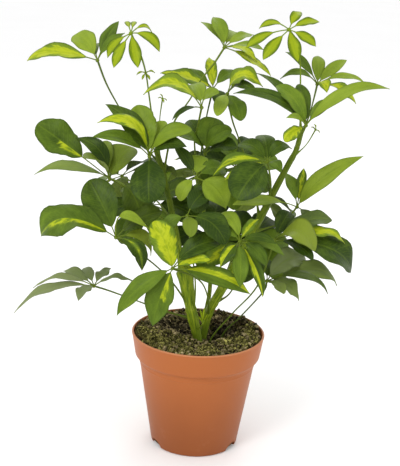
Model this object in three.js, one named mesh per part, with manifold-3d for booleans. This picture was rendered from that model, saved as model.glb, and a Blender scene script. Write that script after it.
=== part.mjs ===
// Potted umbrella plant: a plastic nursery pot, soil, three stems and the compound leaves.
// Millimetres, Z up, the pot stands on Z = 0 with its axis on the origin.
import * as THREE from 'three';
import { mergeVertices } from 'three/addons/utils/BufferGeometryUtils.js';
import Module from 'manifold-3d';

const wasm = await Module();
wasm.setup();

// Clearances
const GAP = 0.3;
const CLEARANCE = 0.35;

// Pot
const POT_HEIGHT = 106;
const RIM_RADIUS = 60;
const RIM_ROUND = 0.7;
const RIM_HEIGHT = 2.1;
const COLLAR_TOP_RADIUS = 59.6;
const COLLAR_FOOT_RADIUS = 56.5;
const COLLAR_FOOT_Z = 85;
const WALL_TOP_RADIUS = 52.7;
const WALL_TOP_Z = 81.4;
const BASE_RADIUS = 39.8;
const BASE_ROUND = 1.2;
const WALL = 1.3;
const FLOOR = 1.8;
const POT_SIDES = 32;
const NOTCHES = 3;
const NOTCH_WIDTH = 17;
const NOTCH_HEIGHT = 6.2;
const NOTCH_DEPTH = 8;
const NOTCH_SIDES = 12;
const NOTCH_FIRST = Math.PI / 2;

// Soil
const SOIL_TOP = 103.4;
const SOIL_SIDES = POT_SIDES;
const SOIL_RINGS = [15, 31, 47];
const SOIL_EDGE_DROP = 0.4;
const EDGE_SLACK = 0.4;
const LUMP_HEIGHT = 1.5;
const LUMP_ACROSS = 0.17;
const LUMP_ALONG = 0.21;
const LUMP_SHIFTS = [1, 2];
const HOLLOW_PLACE = [15, 3];
const HOLLOW_RADIUS = 15;
const HOLLOW_DEPTH = 9;
const STEM_FOOT_Z = 60;
const STALK_FOOT_Z = 80;

// Leaflets
const HUB_RADIUS = 2.3;
const SHOOT_HUB_RADIUS = 1.2;
const BUD_ROOT = 0.6;
const STALK_RADIUS = 0.9;
const STALK_SIDES = 5;
const STALK_STEPS = 5;
const SHOOT_RADIUS = 0.6;
const PETIOLULE_RADIUS = 0.5;
const PETIOLULE_SHARE = 0.16;
const SUNK_SHARE = 0.72;
const BLADE_THICKNESS = 0.9;
const BLADE_FOLD = 0.22;
// Outlines of a blade, round, pointed or slender: place along it and share of its width
const OUTLINES = {
  r: [[0, 0.1], [0.2, 0.6], [0.5, 1], [0.78, 0.84], [0.94, 0.46]],
  p: [[0, 0.1], [0.22, 0.7], [0.46, 1], [0.76, 0.62]],
  s: [[0, 0.1], [0.26, 0.68], [0.54, 1], [0.82, 0.58]],
};
const PLAIN_WIDTH = 13;
const PLAIN_OUTLINE = [[0, 0.1], [0.28, 0.76], [0.68, 1], [0.92, 0.56]];

// Colours
const LOOKS = {
  pot: { color: 0xbe734b, roughness: 0.45 },
  soil: { color: 0x3a3424, roughness: 0.95 },
  stem: { color: 0x7d8f35, roughness: 0.6 },
  leaf: { color: 0x4c7a2a, roughness: 0.4 },
  young: { color: 0x8fb52a, roughness: 0.4 },
};
const YOUNG_LEAVES = ['leaf_young_left', 'leaf_young_right', 'shoot_left', 'shoot_low', 'shoot_right'];

// The upright sheet on which the plant is drawn from the front.
// A reading is [across, down, depth]; depth is the Y of the point in millimetres.
const EYE = new THREE.Vector3(-2.2, -900, 459);
const EYE_PITCH = 0.282;
const EYE_ROLL = 0.043;
const SHEET_SCALE = 1062;
const SHEET_MIDDLE = [200, 233];
const AHEAD = new THREE.Vector3(0, Math.cos(EYE_PITCH), -Math.sin(EYE_PITCH));
const ABOVE = new THREE.Vector3(0, Math.sin(EYE_PITCH), Math.cos(EYE_PITCH));
const UP = new THREE.Vector3(0, 0, 1);

function fromSheet([across, down, depth]) {
  const u = across - SHEET_MIDDLE[0];
  const v = down - SHEET_MIDDLE[1];
  const right = (u * Math.cos(EYE_ROLL) + v * Math.sin(EYE_ROLL)) / SHEET_SCALE;
  const rise = (u * Math.sin(EYE_ROLL) - v * Math.cos(EYE_ROLL)) / SHEET_SCALE;
  const ray = AHEAD.clone().addScaledVector(ABOVE, rise);
  ray.x += right;
  return EYE.clone().addScaledVector(ray, (depth - EYE.y) / ray.y);
}

// Stems: readings from the soil upward, and the stem's radius at each.
const STEMS = [
  { "name": "stem_left", "radii": [3.8, 4.6, 5, 6.6, 8.2, 3.4, 2.9, 2.7, 2.5, 2.4, 2.3], "path": [
    [199, 344, -14], [194.5, 325, -14], [189.5, 303, -14], [186.5, 284, -13], [184.5, 271, -12],
    [181.5, 264, -11], [179, 250, -8], [173, 218, -5], [167, 190, -2], [161, 166, 0], [156, 150, 2]] },
  { "name": "stem_right", "radii": [3.2, 3.9, 4.4, 4.2, 3.6, 3.2, 3, 2.7, 2.3, 2], "path": [
    [203, 336, -1], [209, 312, 0], [221, 290, 0], [236, 263, 0], [251, 235, -2], [265, 209, -4],
    [276, 187.5, -5], [288, 165, -6], [296, 150, -7], [302, 129, -8]] },
  { "name": "stem_back", "radii": [2.2, 2.1, 2, 1.9, 1.9, 1.8, 1.7, 1.5], "path": [
    [204, 331, 13], [206, 312, 14], [209.5, 292, 16], [210, 270, 18], [208, 250, 19], [204, 215, 21],
    [200, 185, 20], [195, 158, 16]] },
];
const STEM_SIDES = 8;

// Compound leaves that the front view shows, nearest first.
// hub: reading of the point where the leaflets meet. root: stem and place along it.
// via: readings that the stalk passes, from its root to the hub.
// lean: slope of the leaf's axis to the right and forward.
// tips: [across, down, depth from the hub, width, arch, share of the petiolule, place of the arch].
// form: outline of each leaflet.
// bud: reading of a tuft of small leaflets on the stalk, their outlines and their tips.
const LEAVES = [
  { "name": "leaf_front", "hub": [172.5, 268.5, -62], "root": ["stem_right", 0.9],
    "via": [[208, 298, -24], [199, 280, -46]], "lean": [-0.1, 1], "form": "rpprrp", "tips": [
      [154, 221, 12, 23, 5, 0.04], [116.6, 316, -8, 17, 8, 0.06], [152.5, 326, -6, 24, 4, 0.06],
      [222, 241, 8, 19, 9], [210, 260, -8, 10, 4], [250.6, 294.4, -8, 18, 7, 0.14]] },
  { "name": "leaf_front_right", "hub": [239.6, 241.4, -54], "root": ["stem_right", 2.2],
    "via": [[228, 268, -28]], "lean": [0.1, 0.9], "form": "prspsspps", "tips": [
      [262.8, 297.5, -12, 11, 7, 0.1], [222, 212.6, 14, 12, 8, 0.12], [221, 229, -4, 8, 3],
      [259, 219, 14, 9, 4, 0.1], [276, 244, -10, 9, 6, 0.08], [284.6, 256, 2, 9, 6, 0.08],
      [220, 268, -16, 12, 4], [240, 288, -20, 14, 4, 0.1], [266, 266, -20, 13, 6]] },
  { "name": "leaf_centre_low", "hub": [187, 216, -46], "root": ["stem_left", 1.4],
    "via": [[195, 297, -20], [195, 278, -26], [191, 246, -34]], "lean": [0.1, 0.9],
    "form": "rprr", "tips": [
      [225.6, 244, -10, 23, 10], [163, 231, -6, 13, 4], [191, 237, -22, 13, 5], [206, 192, 14, 17, 5]] },
  { "name": "leaf_left_low", "hub": [116, 237.5, -36], "root": ["stem_left", 1.7],
    "via": [[172, 282, -24], [150, 261, -31]], "lean": [-0.3, 0.8], "form": "rrprsp", "tips": [
      [41, 235, -8, 35, 18, 0.08, 0.78], [89, 180, 14, 30, 4], [149, 229, -12, 10, 19, 0.4, 0.5],
      [162, 212, 0, 20, 5], [142, 271, -12, 14, 17, 0.1], [151, 256, 4, 12, 14, 0.14]] },
  { "name": "leaf_left_crown", "hub": [149.5, 156.5, -24], "root": ["stem_left", 7.6],
    "via": [[158, 175, -9]], "lean": [-0.2, 0.8], "form": "rrrppsrp", "tips": [
      [137, 105, 14, 24, 4, 0.1], [165, 121, 10, 15, 4], [192, 130, -4, 17, 9], [105, 104, 8, 18, 9, 0.08],
      [97, 123, -14, 14, 17, 0.1, 0.66], [187, 147, -14, 14, 7], [149, 203, -26, 30, 5, 0.08],
      [92, 137, -20, 15, 8]] },
  { "name": "leaf_left", "hub": [109.7, 178.3, -16], "root": ["stem_left", 6.6], "via": [[140, 198, -12]],
    "lean": [-0.4, 0.7], "form": "rpprrrr", "tips": [
      [37, 124, 10, 31, 1, 0.36], [34, 174.5, -10, 11, 10, 0.08], [75, 138, 12, 14, 14],
      [84, 158, -20, 19, 6], [132, 147, 18, 31, 4, 0.08], [101, 142, 28, 19, 5],
      [141, 223, -21, 26, 14, 0.3, 0.4]] },
  { "name": "leaf_lowest_left", "hub": [94, 286, -12], "root": ["stem_left", 1.3],
    "via": [[168, 312, -16], [143, 303, -14], [110, 291, -12]], "lean": [-0.2, 0.3],
    "form": "ppppppp", "tips": [
      [14, 313, -10, 14, 12, 0.08], [33, 288, 6, 9, 10, 0.1], [63, 271, 22, 12, 4], [111, 268, 20, 12, 3],
      [136, 284, 4, 8, 8, 0.1], [78, 301, -24, 14, 5], [84, 268, 28, 11, 4]] },
  { "name": "leaf_right_crown", "hub": [267.8, 162.5, -28], "root": ["stem_right", 5.3],
    "via": [[271, 185, -16]], "lean": [0.1, 0.9], "form": "ppprrpr", "tips": [
      [224, 181, -12, 10, 5, 0.1], [213, 176, -2, 12, 11, 0.1], [292, 149, 8, 12, 10, 0.1],
      [238, 145, 14, 15, 7, 0.1], [262, 135, 24, 17, 5, 0.1], [281, 173, -18, 11, 4],
      [237, 200, -22, 32, 6, 0.1]] },
  { "name": "leaf_centre", "hub": [196, 178, -22], "root": ["stem_back", 5.6], "via": [[199, 194, -4]],
    "lean": [0, 0.9], "form": "prrprr", "tips": [
      [173, 144, 12, 11, 4], [201, 155.7, 14, 16, 4], [226, 172, -2, 18, 7], [226, 209, -12, 26, 8],
      [180, 201, -14, 13, 6], [198, 213, -20, 19, 5]] },
  { "name": "leaf_lower_right", "hub": [275, 240, -16], "root": ["ground", 11, -16],
    "via": [[232.4, 313.5, -22], [257.6, 285.4, -20]], "lean": [0.3, 0.7],
    "form": "rrprrr", "tips": [
      [315, 251, -12, 27, 15, 0.1], [332, 220, 16, 17, 9], [345, 244, 10, 12, 12, 0.2, 0.7],
      [351, 271, 2, 35, 13, 0.16, 0.72], [313, 260, -18, 14, 6], [290, 212, 26, 17, 5]] },
  { "name": "leaf_lowest_right", "hub": [267, 281, -14], "root": ["ground", 22, -2],
    "via": [[240.8, 316.3, -10], [263.2, 291.8, -13]], "lean": [0.3, 0.6],
    "form": "rpprpr", "tips": [
      [305, 257, 12, 22, 9, 0.1], [337, 286, 0, 18, 16, 0.12, 0.75], [328, 294, -12, 10, 14, 0.16, 0.7],
      [284, 294, -24, 13, 4, 0.1], [299, 301, -20, 17, 8, 0.1], [265, 259, 22, 12, 3]] },
  { "name": "leaf_right", "hub": [297, 207, 10], "root": ["stem_right", 4.1], "via": [[283, 222, 0]],
    "lean": [0.2, 0.8], "form": "pspsr", "tips": [
      [364, 156, 6, 17, 9, 0.05, 0.45], [286, 173, 18, 12, 4], [304, 168, 22, 10, 2],
      [232, 205, -34, 13, 6, 0.24], [314, 231, -20, 12, 5]] },
  { "name": "leaf_upper_right", "hub": [305.9, 125.6, -26], "root": ["stem_right", 8.1], "via": [],
    "lean": [0.1, 0.8], "form": "pprrpprp", "tips": [
      [390, 89, -4, 13, 14, 0.05, 0.6], [333, 100, 12, 11, 4], [276, 86, 8, 17, 7, 0.08],
      [299, 84, 20, 13, 4, 0.1], [233, 93.5, -10, 13, 12, 0.06], [256, 73, 14, 9, 9, 0.08],
      [285, 142, -14, 12, 3], [286, 118, -10, 8, 4, 0.1]] },
  { "name": "leaf_middle_top_front", "hub": [201.6, 107.7, -20], "root": ["stem_back", 6.7],
    "via": [[194.5, 141, 6], [198, 125, -8]], "lean": [-0.1, 0.7], "form": "psrr", "tips": [
      [143, 95, -5, 18, 17, 0.1, 0.6], [172, 120, -18, 6, 5], [194, 84, 24, 16, 5],
      [219, 93, -10, 12, 5]] },
  { "name": "leaf_middle", "hub": [205, 154, 5], "root": ["stem_back", 6.5], "via": [],
    "lean": [0, 0.7], "form": "rrrrr", "tips": [
      [189, 120, 12, 19, 4], [215, 118, 12, 25, 4], [232, 130, 2, 19, 6], [237, 148, -8, 17, 5],
      [176, 135, 4, 16, 6]] },
  { "name": "leaf_middle_top_right", "hub": [227.4, 93.8, 6], "root": ["stem_right", 4.6],
    "via": [[252, 178, 7], [240, 142, 10], [231.9, 118.6, 9]], "lean": [0.1, 0.8],
    "form": "prrrr", "tips": [
      [263, 87, -8, 19, 15, 0.05], [256, 93, -16, 10, 8], [217, 116, -28, 12, 4, 0.1],
      [241, 121, -22, 16, 4, 0.08], [252, 69, 20, 10, 4]] },
  { "name": "leaf_middle_top_back", "hub": [213, 89, 40], "root": ["stem_back", 6.4],
    "via": [[206, 120, 33]], "lean": [0, 0.6], "form": "prspr", "tips": [
      [160, 73, 4, 17, 4, 0.06], [183, 71, 16, 12, 4], [209, 57.3, 22, 11, 4, 0.06], [240, 74, 12, 14, 6],
      [222, 107, -22, 14, 4]] },
  { "name": "leaf_young_left", "hub": [131, 33.3, -12], "root": ["stem_left", 9.6],
    "via": [[153, 124, 1], [149, 95, -3], [146, 74, -6], [141, 56, -9]], "lean": [0, 0.9],
    "form": "sssssss", "tips": [
      [138, 68, -14, 10.5, 1, 0.06], [113.6, 68, -10, 9.5, 3, 0.2], [107.5, 58, 2, 9.5, 4, 0.16],
      [159.5, 52, -6, 10.5, 7, 0.12], [152.7, 33.9, 8, 5, 7, 0.16], [126, 21.5, 20, 5, 2, 0.3],
      [135, 21.5, 20, 5, 2, 0.3]],
    "bud": [[145.6, 73, -6], "ssss", [
      [136.5, 75, -2, 4, 2], [155, 73, 2, 4, 2], [142, 80, -5, 4, 1], [150, 80, -4, 4, 1]]] },
  { "name": "leaf_young_right", "hub": [289, 29.7, 6], "root": ["stem_right", 8.8],
    "via": [[300, 104, -4], [300.5, 80, 0], [300, 61, 2], [297, 42, 4]], "lean": [0, 0.8],
    "form": "sssssss", "tips": [
      [259, 28.5, 2, 8.5, 6, 0.22], [246, 48, -8, 10.5, 4, 0.3], [263, 60, -14, 11, 2, 0.2],
      [298, 62, -16, 11.5, 1, 0.05], [316, 46.5, -8, 11.5, 2, 0.16], [319.5, 22, 6, 9.5, 3, 0.16],
      [301, 12, 16, 9.5, 4, 0.16]] },
  { "name": "leaf_upper_left", "hub": [97.5, 60.4, 24], "root": ["stem_left", 9.1],
    "via": [[139, 140, 12], [122, 112, 18], [107, 85, 22]], "lean": [-0.2, 0.7],
    "form": "prppr", "tips": [
      [27, 61, -6, 20, 8, 0.1, 0.74], [76, 34, 20, 21, 4], [125, 33, 8, 11, 4], [119, 21, 18, 13, 3],
      [92, 48, 40, 12, 6]] },
  { "name": "leaf_upper_right_back", "hub": [317.3, 84.2, 30], "root": ["stem_right", 8.4],
    "via": [[309, 116, 7], [314, 98, 20]], "lean": [0.1, 0.7],
    "form": "rspspps", "tips": [
      [318, 56, 22, 12, 3, 0.08], [347, 60, 16, 11.5, 3, 0.08], [365.8, 84, 4, 8, 8],
      [285.5, 52, 12, 10, 5], [280, 79, -2, 9, 9], [327, 93, -14, 12, 6], [356, 104, -10, 11, 7]] },
  { "name": "leaf_top", "hub": [224.4, 47.6, 38], "root": ["stem_left", 8.6],
    "via": [[172.6, 127, 10], [181, 112, 15], [190.5, 98.5, 21], [201.3, 79.3, 28], [213, 65, 34]],
    "lean": [0.1, 0.5], "form": "sspsppr", "tips": [
      [200.8, 22, 14, 8, 4], [213, 17, 22, 15, 5, 0.08], [254, 35, 20, 11, 4], [264, 50, -2, 10, 4],
      [257, 62, -14, 10, 6], [271, 76, -24, 11, 4], [235, 32, 26, 12, 4]] },
  { "name": "shoot_left", "hub": [162.4, 99, 6], "root": ["stem_left", 9.3], "via": [[159.6, 122, 8]],
    "lean": [0, 0.5], "form": "ssss", "tips": [
      [158, 98, 2, 3, 1], [160, 94, 4, 3, 1], [167, 96, 0, 3, 1], [164, 103, -5, 3, 1]] },
  { "name": "shoot_low", "hub": [203, 324, -25], "root": ["stem_left", 0.7], "via": [],
    "lean": [0, 0.5], "form": "ssss", "tips": [
      [200, 309, 4, 4, 1], [205, 307, 2, 4, 1], [208, 314, -2, 4, 1], [197.5, 316, -4, 4, 1]] },
  { "name": "shoot_right", "hub": [315.4, 130, -2], "root": ["stem_right", 7.5], "via": [[306, 145, -4]],
    "lean": [0, 0.5], "form": "sss", "tips": [
      [311, 127, 2, 3, 1], [314, 124, 4, 3, 1], [320, 128, 1, 3, 1]] },
];

// Compound leaves of the far side: number, length, width and droop of their leaflets.
const FAR_LEAVES = [
  { "name": "leaf_back_middle", "hub": [236, 167, 34], "root": ["stem_right", 5.6], "via": [[262, 172, 14]],
    "lean": [0, 0.8], "ring": [7, 42, 24, 0.1, 0.2] },
  { "name": "leaf_back_left", "hub": [152, 205, 34], "root": ["stem_left", 5.9], "via": [[166, 214, 14]],
    "lean": [-0.3, 0.7], "ring": [7, 42, 24, 0.1, 0.5] },
  { "name": "leaf_back_right", "hub": [248, 244, 30], "root": ["stem_right", 1.4],
    "via": [[230, 293, 8], [242, 266, 20]], "lean": [0.1, 0.8], "ring": [7, 44, 24, 0.1, 0.1] },
  { "name": "leaf_back_low", "hub": [212, 232, 56], "root": ["stem_back", 3.6], "via": [[208, 244, 36]],
    "lean": [0, 0.6], "ring": [6, 46, 25, 0.1, 0.4] },
  { "name": "leaf_far_top_left", "hub": [180, 182, 72], "root": ["stem_left", 7.2], "via": [[172, 190, 34]],
    "lean": [-0.2, -0.5], "ring": [5, 46, 22, 0.15, 0.3] },
  { "name": "leaf_far_left", "hub": [122, 176, 72], "root": ["stem_left", 6.9], "via": [[150, 194, 34]],
    "lean": [-0.6, -0.5], "ring": [5, 46, 21, 0.2, 0.5] },
  { "name": "leaf_far_middle", "hub": [214, 172, 102], "root": ["stem_back", 5.2], "via": [[205, 192, 54]],
    "lean": [0, -0.8], "ring": [5, 50, 22, 0.15, 0.2] },
  { "name": "leaf_far_right", "hub": [256, 198, 82], "root": ["stem_right", 3.6], "via": [[264, 212, 38]],
    "lean": [0.5, -0.6], "ring": [5, 48, 21, 0.2, 0.6] },
];
const LENGTH_SPREAD = 0.12;
const WIDTH_SPREAD = 0.1;
const ARCH_SHARE = 0.12;
const ARCH_PLACE = 0.55;
const SEED_ROW = 12.9898;
const SEED_ITEM = 78.233;
const SEED_SCALE = 43758.5453;

// A leaflet that would touch another piece slides along the line of sight, rises or shortens.
const SLIDES = [0, 5, -5, 10, -10, 15, -15, 21, -21, 28, -28, 36, -36];
const RISES = [0, 4, -4, 8, -8, 13, -13];
const SHORTER = [1, 0.88, 0.76, 0.64];
const LONGEST = 1.35;

// Seeded spread in -1 to 1 for a numbered item
function spread(row, item) {
  const wave = Math.sin(row * SEED_ROW + item * SEED_ITEM) * SEED_SCALE;
  return 2 * (wave - Math.floor(wave)) - 1;
}

// Smooth line through points; place counts points from the first.
function glide(points, place) {
  const last = points.length - 1;
  const i = Math.min(Math.floor(place), last - 1);
  const t = place - i;
  const b = points[i];
  const c = points[i + 1];
  const a = i > 0 ? points[i - 1] : b.clone().multiplyScalar(2).sub(c);
  const d = i + 1 < last ? points[i + 2] : c.clone().multiplyScalar(2).sub(b);
  const near = c.clone().sub(a).multiplyScalar(0.5);
  const far = d.clone().sub(b).multiplyScalar(0.5);
  const cube = t * t * t;
  const square = t * t;
  return new THREE.Vector3()
    .addScaledVector(b, 2 * cube - 3 * square + 1)
    .addScaledVector(near, cube - 2 * square + t)
    .addScaledVector(c, 3 * square - 2 * cube)
    .addScaledVector(far, cube - square);
}

// Closed solid over rings of equal point counts; it ends in a point if a tip is given.
function skin(rings, tip) {
  const sides = rings[0].length;
  const points = rings.flat();
  const faces = [];
  for (let i = 2; i < sides; i += 1) {
    faces.push(0, i - 1, i);
  }
  for (let r = 0; r + 1 < rings.length; r += 1) {
    for (let i = 0; i < sides; i += 1) {
      const a = r * sides + i;
      const b = r * sides + (i + 1) % sides;
      faces.push(a, a + sides, b, b, a + sides, b + sides);
    }
  }
  const end = (rings.length - 1) * sides;
  if (tip) {
    points.push(tip);
    for (let i = 0; i < sides; i += 1) {
      faces.push(end + i, points.length - 1, end + (i + 1) % sides);
    }
  } else {
    for (let i = 2; i < sides; i += 1) {
      faces.push(end, end + i, end + i - 1);
    }
  }
  const vertProperties = new Float32Array(points.flatMap((p) => [p.x, p.y, p.z]));
  return new wasm.Manifold(new wasm.Mesh({ numProp: 3, vertProperties, triVerts: new Uint32Array(faces) }));
}

// Copy of points whose ends reach a little further
function stretched(points, extra) {
  const longer = points.map((p) => p.clone());
  const last = points.length - 1;
  longer[0].addScaledVector(points[0].clone().sub(points[1]).normalize(), extra);
  longer[last].addScaledVector(points[last].clone().sub(points[last - 1]).normalize(), extra);
  return longer;
}

// Round bar along points with a radius for each
function bar(points, radii, sides) {
  const rings = [];
  let across = new THREE.Vector3(1, 0, 0);
  for (let i = 0; i < points.length; i += 1) {
    const next = points[Math.min(i + 1, points.length - 1)];
    const along = next.clone().sub(points[Math.max(i - 1, 0)]).normalize();
    across = across.clone().addScaledVector(along, -across.dot(along)).normalize();
    const other = along.clone().negate().cross(across);
    const ring = [];
    for (let k = 0; k < sides; k += 1) {
      const angle = k * 2 * Math.PI / sides;
      ring.push(points[i].clone()
        .addScaledVector(across, Math.cos(angle) * radii[i])
        .addScaledVector(other, Math.sin(angle) * radii[i]));
    }
    rings.push(ring);
  }
  return skin(rings);
}

function solidOf(geometry) {
  geometry.deleteAttribute('normal');
  geometry.deleteAttribute('uv');
  const merged = mergeVertices(geometry);
  return new wasm.Manifold(new wasm.Mesh({
    numProp: 3,
    vertProperties: new Float32Array(merged.attributes.position.array),
    triVerts: new Uint32Array(merged.index.array),
  }));
}

function geometryOf(solid) {
  const mesh = solid.getMesh();
  const geometry = new THREE.BufferGeometry();
  geometry.setAttribute('position', new THREE.BufferAttribute(new Float32Array(mesh.vertProperties), 3));
  geometry.setIndex(new THREE.BufferAttribute(new Uint32Array(mesh.triVerts), 1));
  return geometry;
}

function ball(centre, radius) {
  const geometry = new THREE.IcosahedronGeometry(radius, 0);
  geometry.translate(centre.x, centre.y, centre.z);
  return solidOf(geometry);
}

// Leaflet from inside the hub to its tip: a thin stalk, then a folded blade.
// extra widens it all round; bladeOnly leaves its stalk out.
function leaflet(hub, tip, shape, axis, extra, bladeOnly) {
  const chord = tip.clone().sub(hub);
  const along = chord.clone().normalize();
  const face = axis.clone().addScaledVector(along, -axis.dot(along)).normalize();
  const side = along.clone().cross(face);
  const lift = UP.clone().add(axis);
  lift.addScaledVector(along, -lift.dot(along)).normalize();
  const middle = hub.clone().addScaledVector(chord, shape.peak).addScaledVector(lift, 2 * shape.arch);
  const end = tip.clone().addScaledVector(along, extra);
  const rings = [];
  const ring = (t, halfWidth, halfThick, fold) => {
    const centre = hub.clone().multiplyScalar((1 - t) * (1 - t))
      .addScaledVector(middle, 2 * t * (1 - t))
      .addScaledVector(end, t * t);
    const heading = middle.clone().sub(hub).multiplyScalar(1 - t)
      .addScaledVector(end.clone().sub(middle), t).normalize();
    const across = side.clone().addScaledVector(heading, -side.dot(heading)).normalize();
    const normal = across.clone().cross(heading);
    rings.push([
      centre.clone().addScaledVector(across, halfWidth + extra).addScaledVector(normal, fold),
      centre.clone().addScaledVector(normal, halfThick + extra),
      centre.clone().addScaledVector(across, -halfWidth - extra).addScaledVector(normal, fold),
      centre.clone().addScaledVector(normal, -halfThick - extra),
    ]);
  };
  const sunk = SUNK_SHARE * shape.hubRadius / (2 * middle.distanceTo(hub));
  if (!bladeOnly) {
    ring(sunk, PETIOLULE_RADIUS, PETIOLULE_RADIUS, 0);
  }
  for (const [station, wide] of shape.outline) {
    const halfWidth = Math.max(wide * shape.width / 2, PETIOLULE_RADIUS);
    const t = shape.share + (1 - shape.share) * station;
    ring(t, halfWidth, BLADE_THICKNESS / 2, BLADE_FOLD * (halfWidth - PETIOLULE_RADIUS));
  }
  return skin(rings, end);
}

function boundsOf(solid) {
  const box = new THREE.Box3();
  const mesh = solid.getMesh();
  const p = new THREE.Vector3();
  for (let i = 0; i < mesh.vertProperties.length; i += 3) {
    box.expandByPoint(p.fromArray(mesh.vertProperties, i));
  }
  return box;
}

// Everything placed so far, each with its owner
const placed = [];

function place(owner, solid, core) {
  placed.push({ owner, solid, core: core ?? solid, box: boundsOf(solid) });
}

function touches(owner, solid, core) {
  const box = boundsOf(solid);
  return placed.some((other) => {
    const sameStalk = other.owner === owner && other.core === other.solid;
    if (sameStalk || !other.box.intersectsBox(box)) {
      return false;
    }
    const mine = other.owner === owner ? core : solid;
    const theirs = other.owner === owner ? other.core : other.solid;
    return mine.intersect(theirs).getMesh().triVerts.length > 0;
  });
}

function slideInSight(point, distance) {
  const ray = point.clone().sub(EYE);
  return EYE.clone().addScaledVector(ray, (ray.y + distance) / ray.y);
}

// First clear form of a leaflet, or nothing when there is no room for it
function fit(owner, hub, tip, shape, axis) {
  const reach = tip.distanceTo(hub);
  for (const shorter of SHORTER) {
    for (const rise of RISES) {
      for (const slide of SLIDES) {
        const moved = slideInSight(tip, slide);
        moved.z += rise;
        moved.sub(hub).multiplyScalar(shorter).add(hub);
        const core = leaflet(hub, moved, shape, axis, 0, true);
        const wide = leaflet(hub, moved, shape, axis, CLEARANCE);
        if (moved.distanceTo(hub) <= LONGEST * reach && !touches(owner, wide, core)) {
          const solid = leaflet(hub, moved, shape, axis, 0);
          place(owner, solid, core);
          return solid;
        }
      }
    }
  }
  return null;
}

// Stems, straight below the soil surface
const stems = {};
for (const { name, radii, path } of STEMS) {
  const guide = path.map(fromSheet);
  const points = [new THREE.Vector3(guide[0].x, guide[0].y, STEM_FOOT_Z), ...guide];
  const sizes = [radii[0], ...radii];
  stems[name] = {
    guide,
    solid: bar(points, sizes, STEM_SIDES),
    wide: bar(stretched(points, GAP), sizes.map((r) => r + GAP), STEM_SIDES),
  };
  place(name, stems[name].solid);
}

// Pot: one turned profile with drainage notches cut in its foot
const inside = (radius) => radius - WALL;
const profile = [
  [0, 0], [BASE_RADIUS - BASE_ROUND, 0], [BASE_RADIUS, BASE_ROUND], [WALL_TOP_RADIUS, WALL_TOP_Z],
  [COLLAR_FOOT_RADIUS, COLLAR_FOOT_Z], [COLLAR_TOP_RADIUS, POT_HEIGHT - RIM_HEIGHT],
  [RIM_RADIUS, POT_HEIGHT - RIM_HEIGHT + RIM_ROUND], [RIM_RADIUS, POT_HEIGHT - RIM_ROUND],
  [RIM_RADIUS - RIM_ROUND, POT_HEIGHT], [inside(COLLAR_TOP_RADIUS), POT_HEIGHT],
  [inside(COLLAR_FOOT_RADIUS), COLLAR_FOOT_Z], [inside(WALL_TOP_RADIUS), WALL_TOP_Z],
  [inside(BASE_RADIUS), FLOOR], [0, FLOOR],
];
const lathe = new THREE.LatheGeometry(profile.map(([r, z]) => new THREE.Vector2(r, z)), POT_SIDES);
lathe.rotateX(Math.PI / 2);
let pot = solidOf(lathe);
for (let i = 0; i < NOTCHES; i += 1) {
  const notch = new THREE.CylinderGeometry(1, 1, NOTCH_DEPTH, NOTCH_SIDES);
  notch.rotateZ(Math.PI / 2);
  notch.scale(1, NOTCH_WIDTH / 2, NOTCH_HEIGHT);
  notch.translate(BASE_RADIUS, 0, 0);
  notch.rotateZ(NOTCH_FIRST + i * 2 * Math.PI / NOTCHES);
  pot = pot.subtract(solidOf(notch));
}
place('pot', pot);

// Soil: a lumpy top over the pot's inside, a little clear of the wall
function soilHeight(x, y) {
  const lumps = LUMP_HEIGHT * (Math.sin(LUMP_ACROSS * x + LUMP_SHIFTS[0]) * Math.cos(LUMP_ALONG * y)
    + Math.sin(LUMP_ALONG * x) * Math.sin(LUMP_ACROSS * y + LUMP_SHIFTS[1]));
  const away = Math.hypot(x - HOLLOW_PLACE[0], y - HOLLOW_PLACE[1]) / HOLLOW_RADIUS;
  return SOIL_TOP + lumps - HOLLOW_DEPTH * Math.exp(-away * away);
}
const clear = (radius) => inside(radius) - GAP;
const soilRings = [[clear(BASE_RADIUS), FLOOR + GAP], [clear(WALL_TOP_RADIUS), WALL_TOP_Z],
  [clear(COLLAR_FOOT_RADIUS), COLLAR_FOOT_Z]].map(([r, z]) => ({ r, z }));
const edgeZ = SOIL_TOP - SOIL_EDGE_DROP;
const flare = (COLLAR_TOP_RADIUS - COLLAR_FOOT_RADIUS) / (POT_HEIGHT - RIM_HEIGHT - COLLAR_FOOT_Z);
soilRings.push({ r: clear(COLLAR_FOOT_RADIUS + flare * (edgeZ - COLLAR_FOOT_Z)) - EDGE_SLACK, z: edgeZ });
[...SOIL_RINGS].reverse().forEach((r) => soilRings.push({ r }));
const soilSkin = soilRings.map(({ r, z }) => {
  const ring = [];
  for (let k = 0; k < SOIL_SIDES; k += 1) {
    const angle = -k * 2 * Math.PI / SOIL_SIDES;
    const x = r * Math.cos(angle);
    const y = r * Math.sin(angle);
    ring.push(new THREE.Vector3(x, y, z ?? soilHeight(x, y)));
  }
  return ring;
});
let soil = skin(soilSkin, new THREE.Vector3(0, 0, soilHeight(0, 0)));

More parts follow.
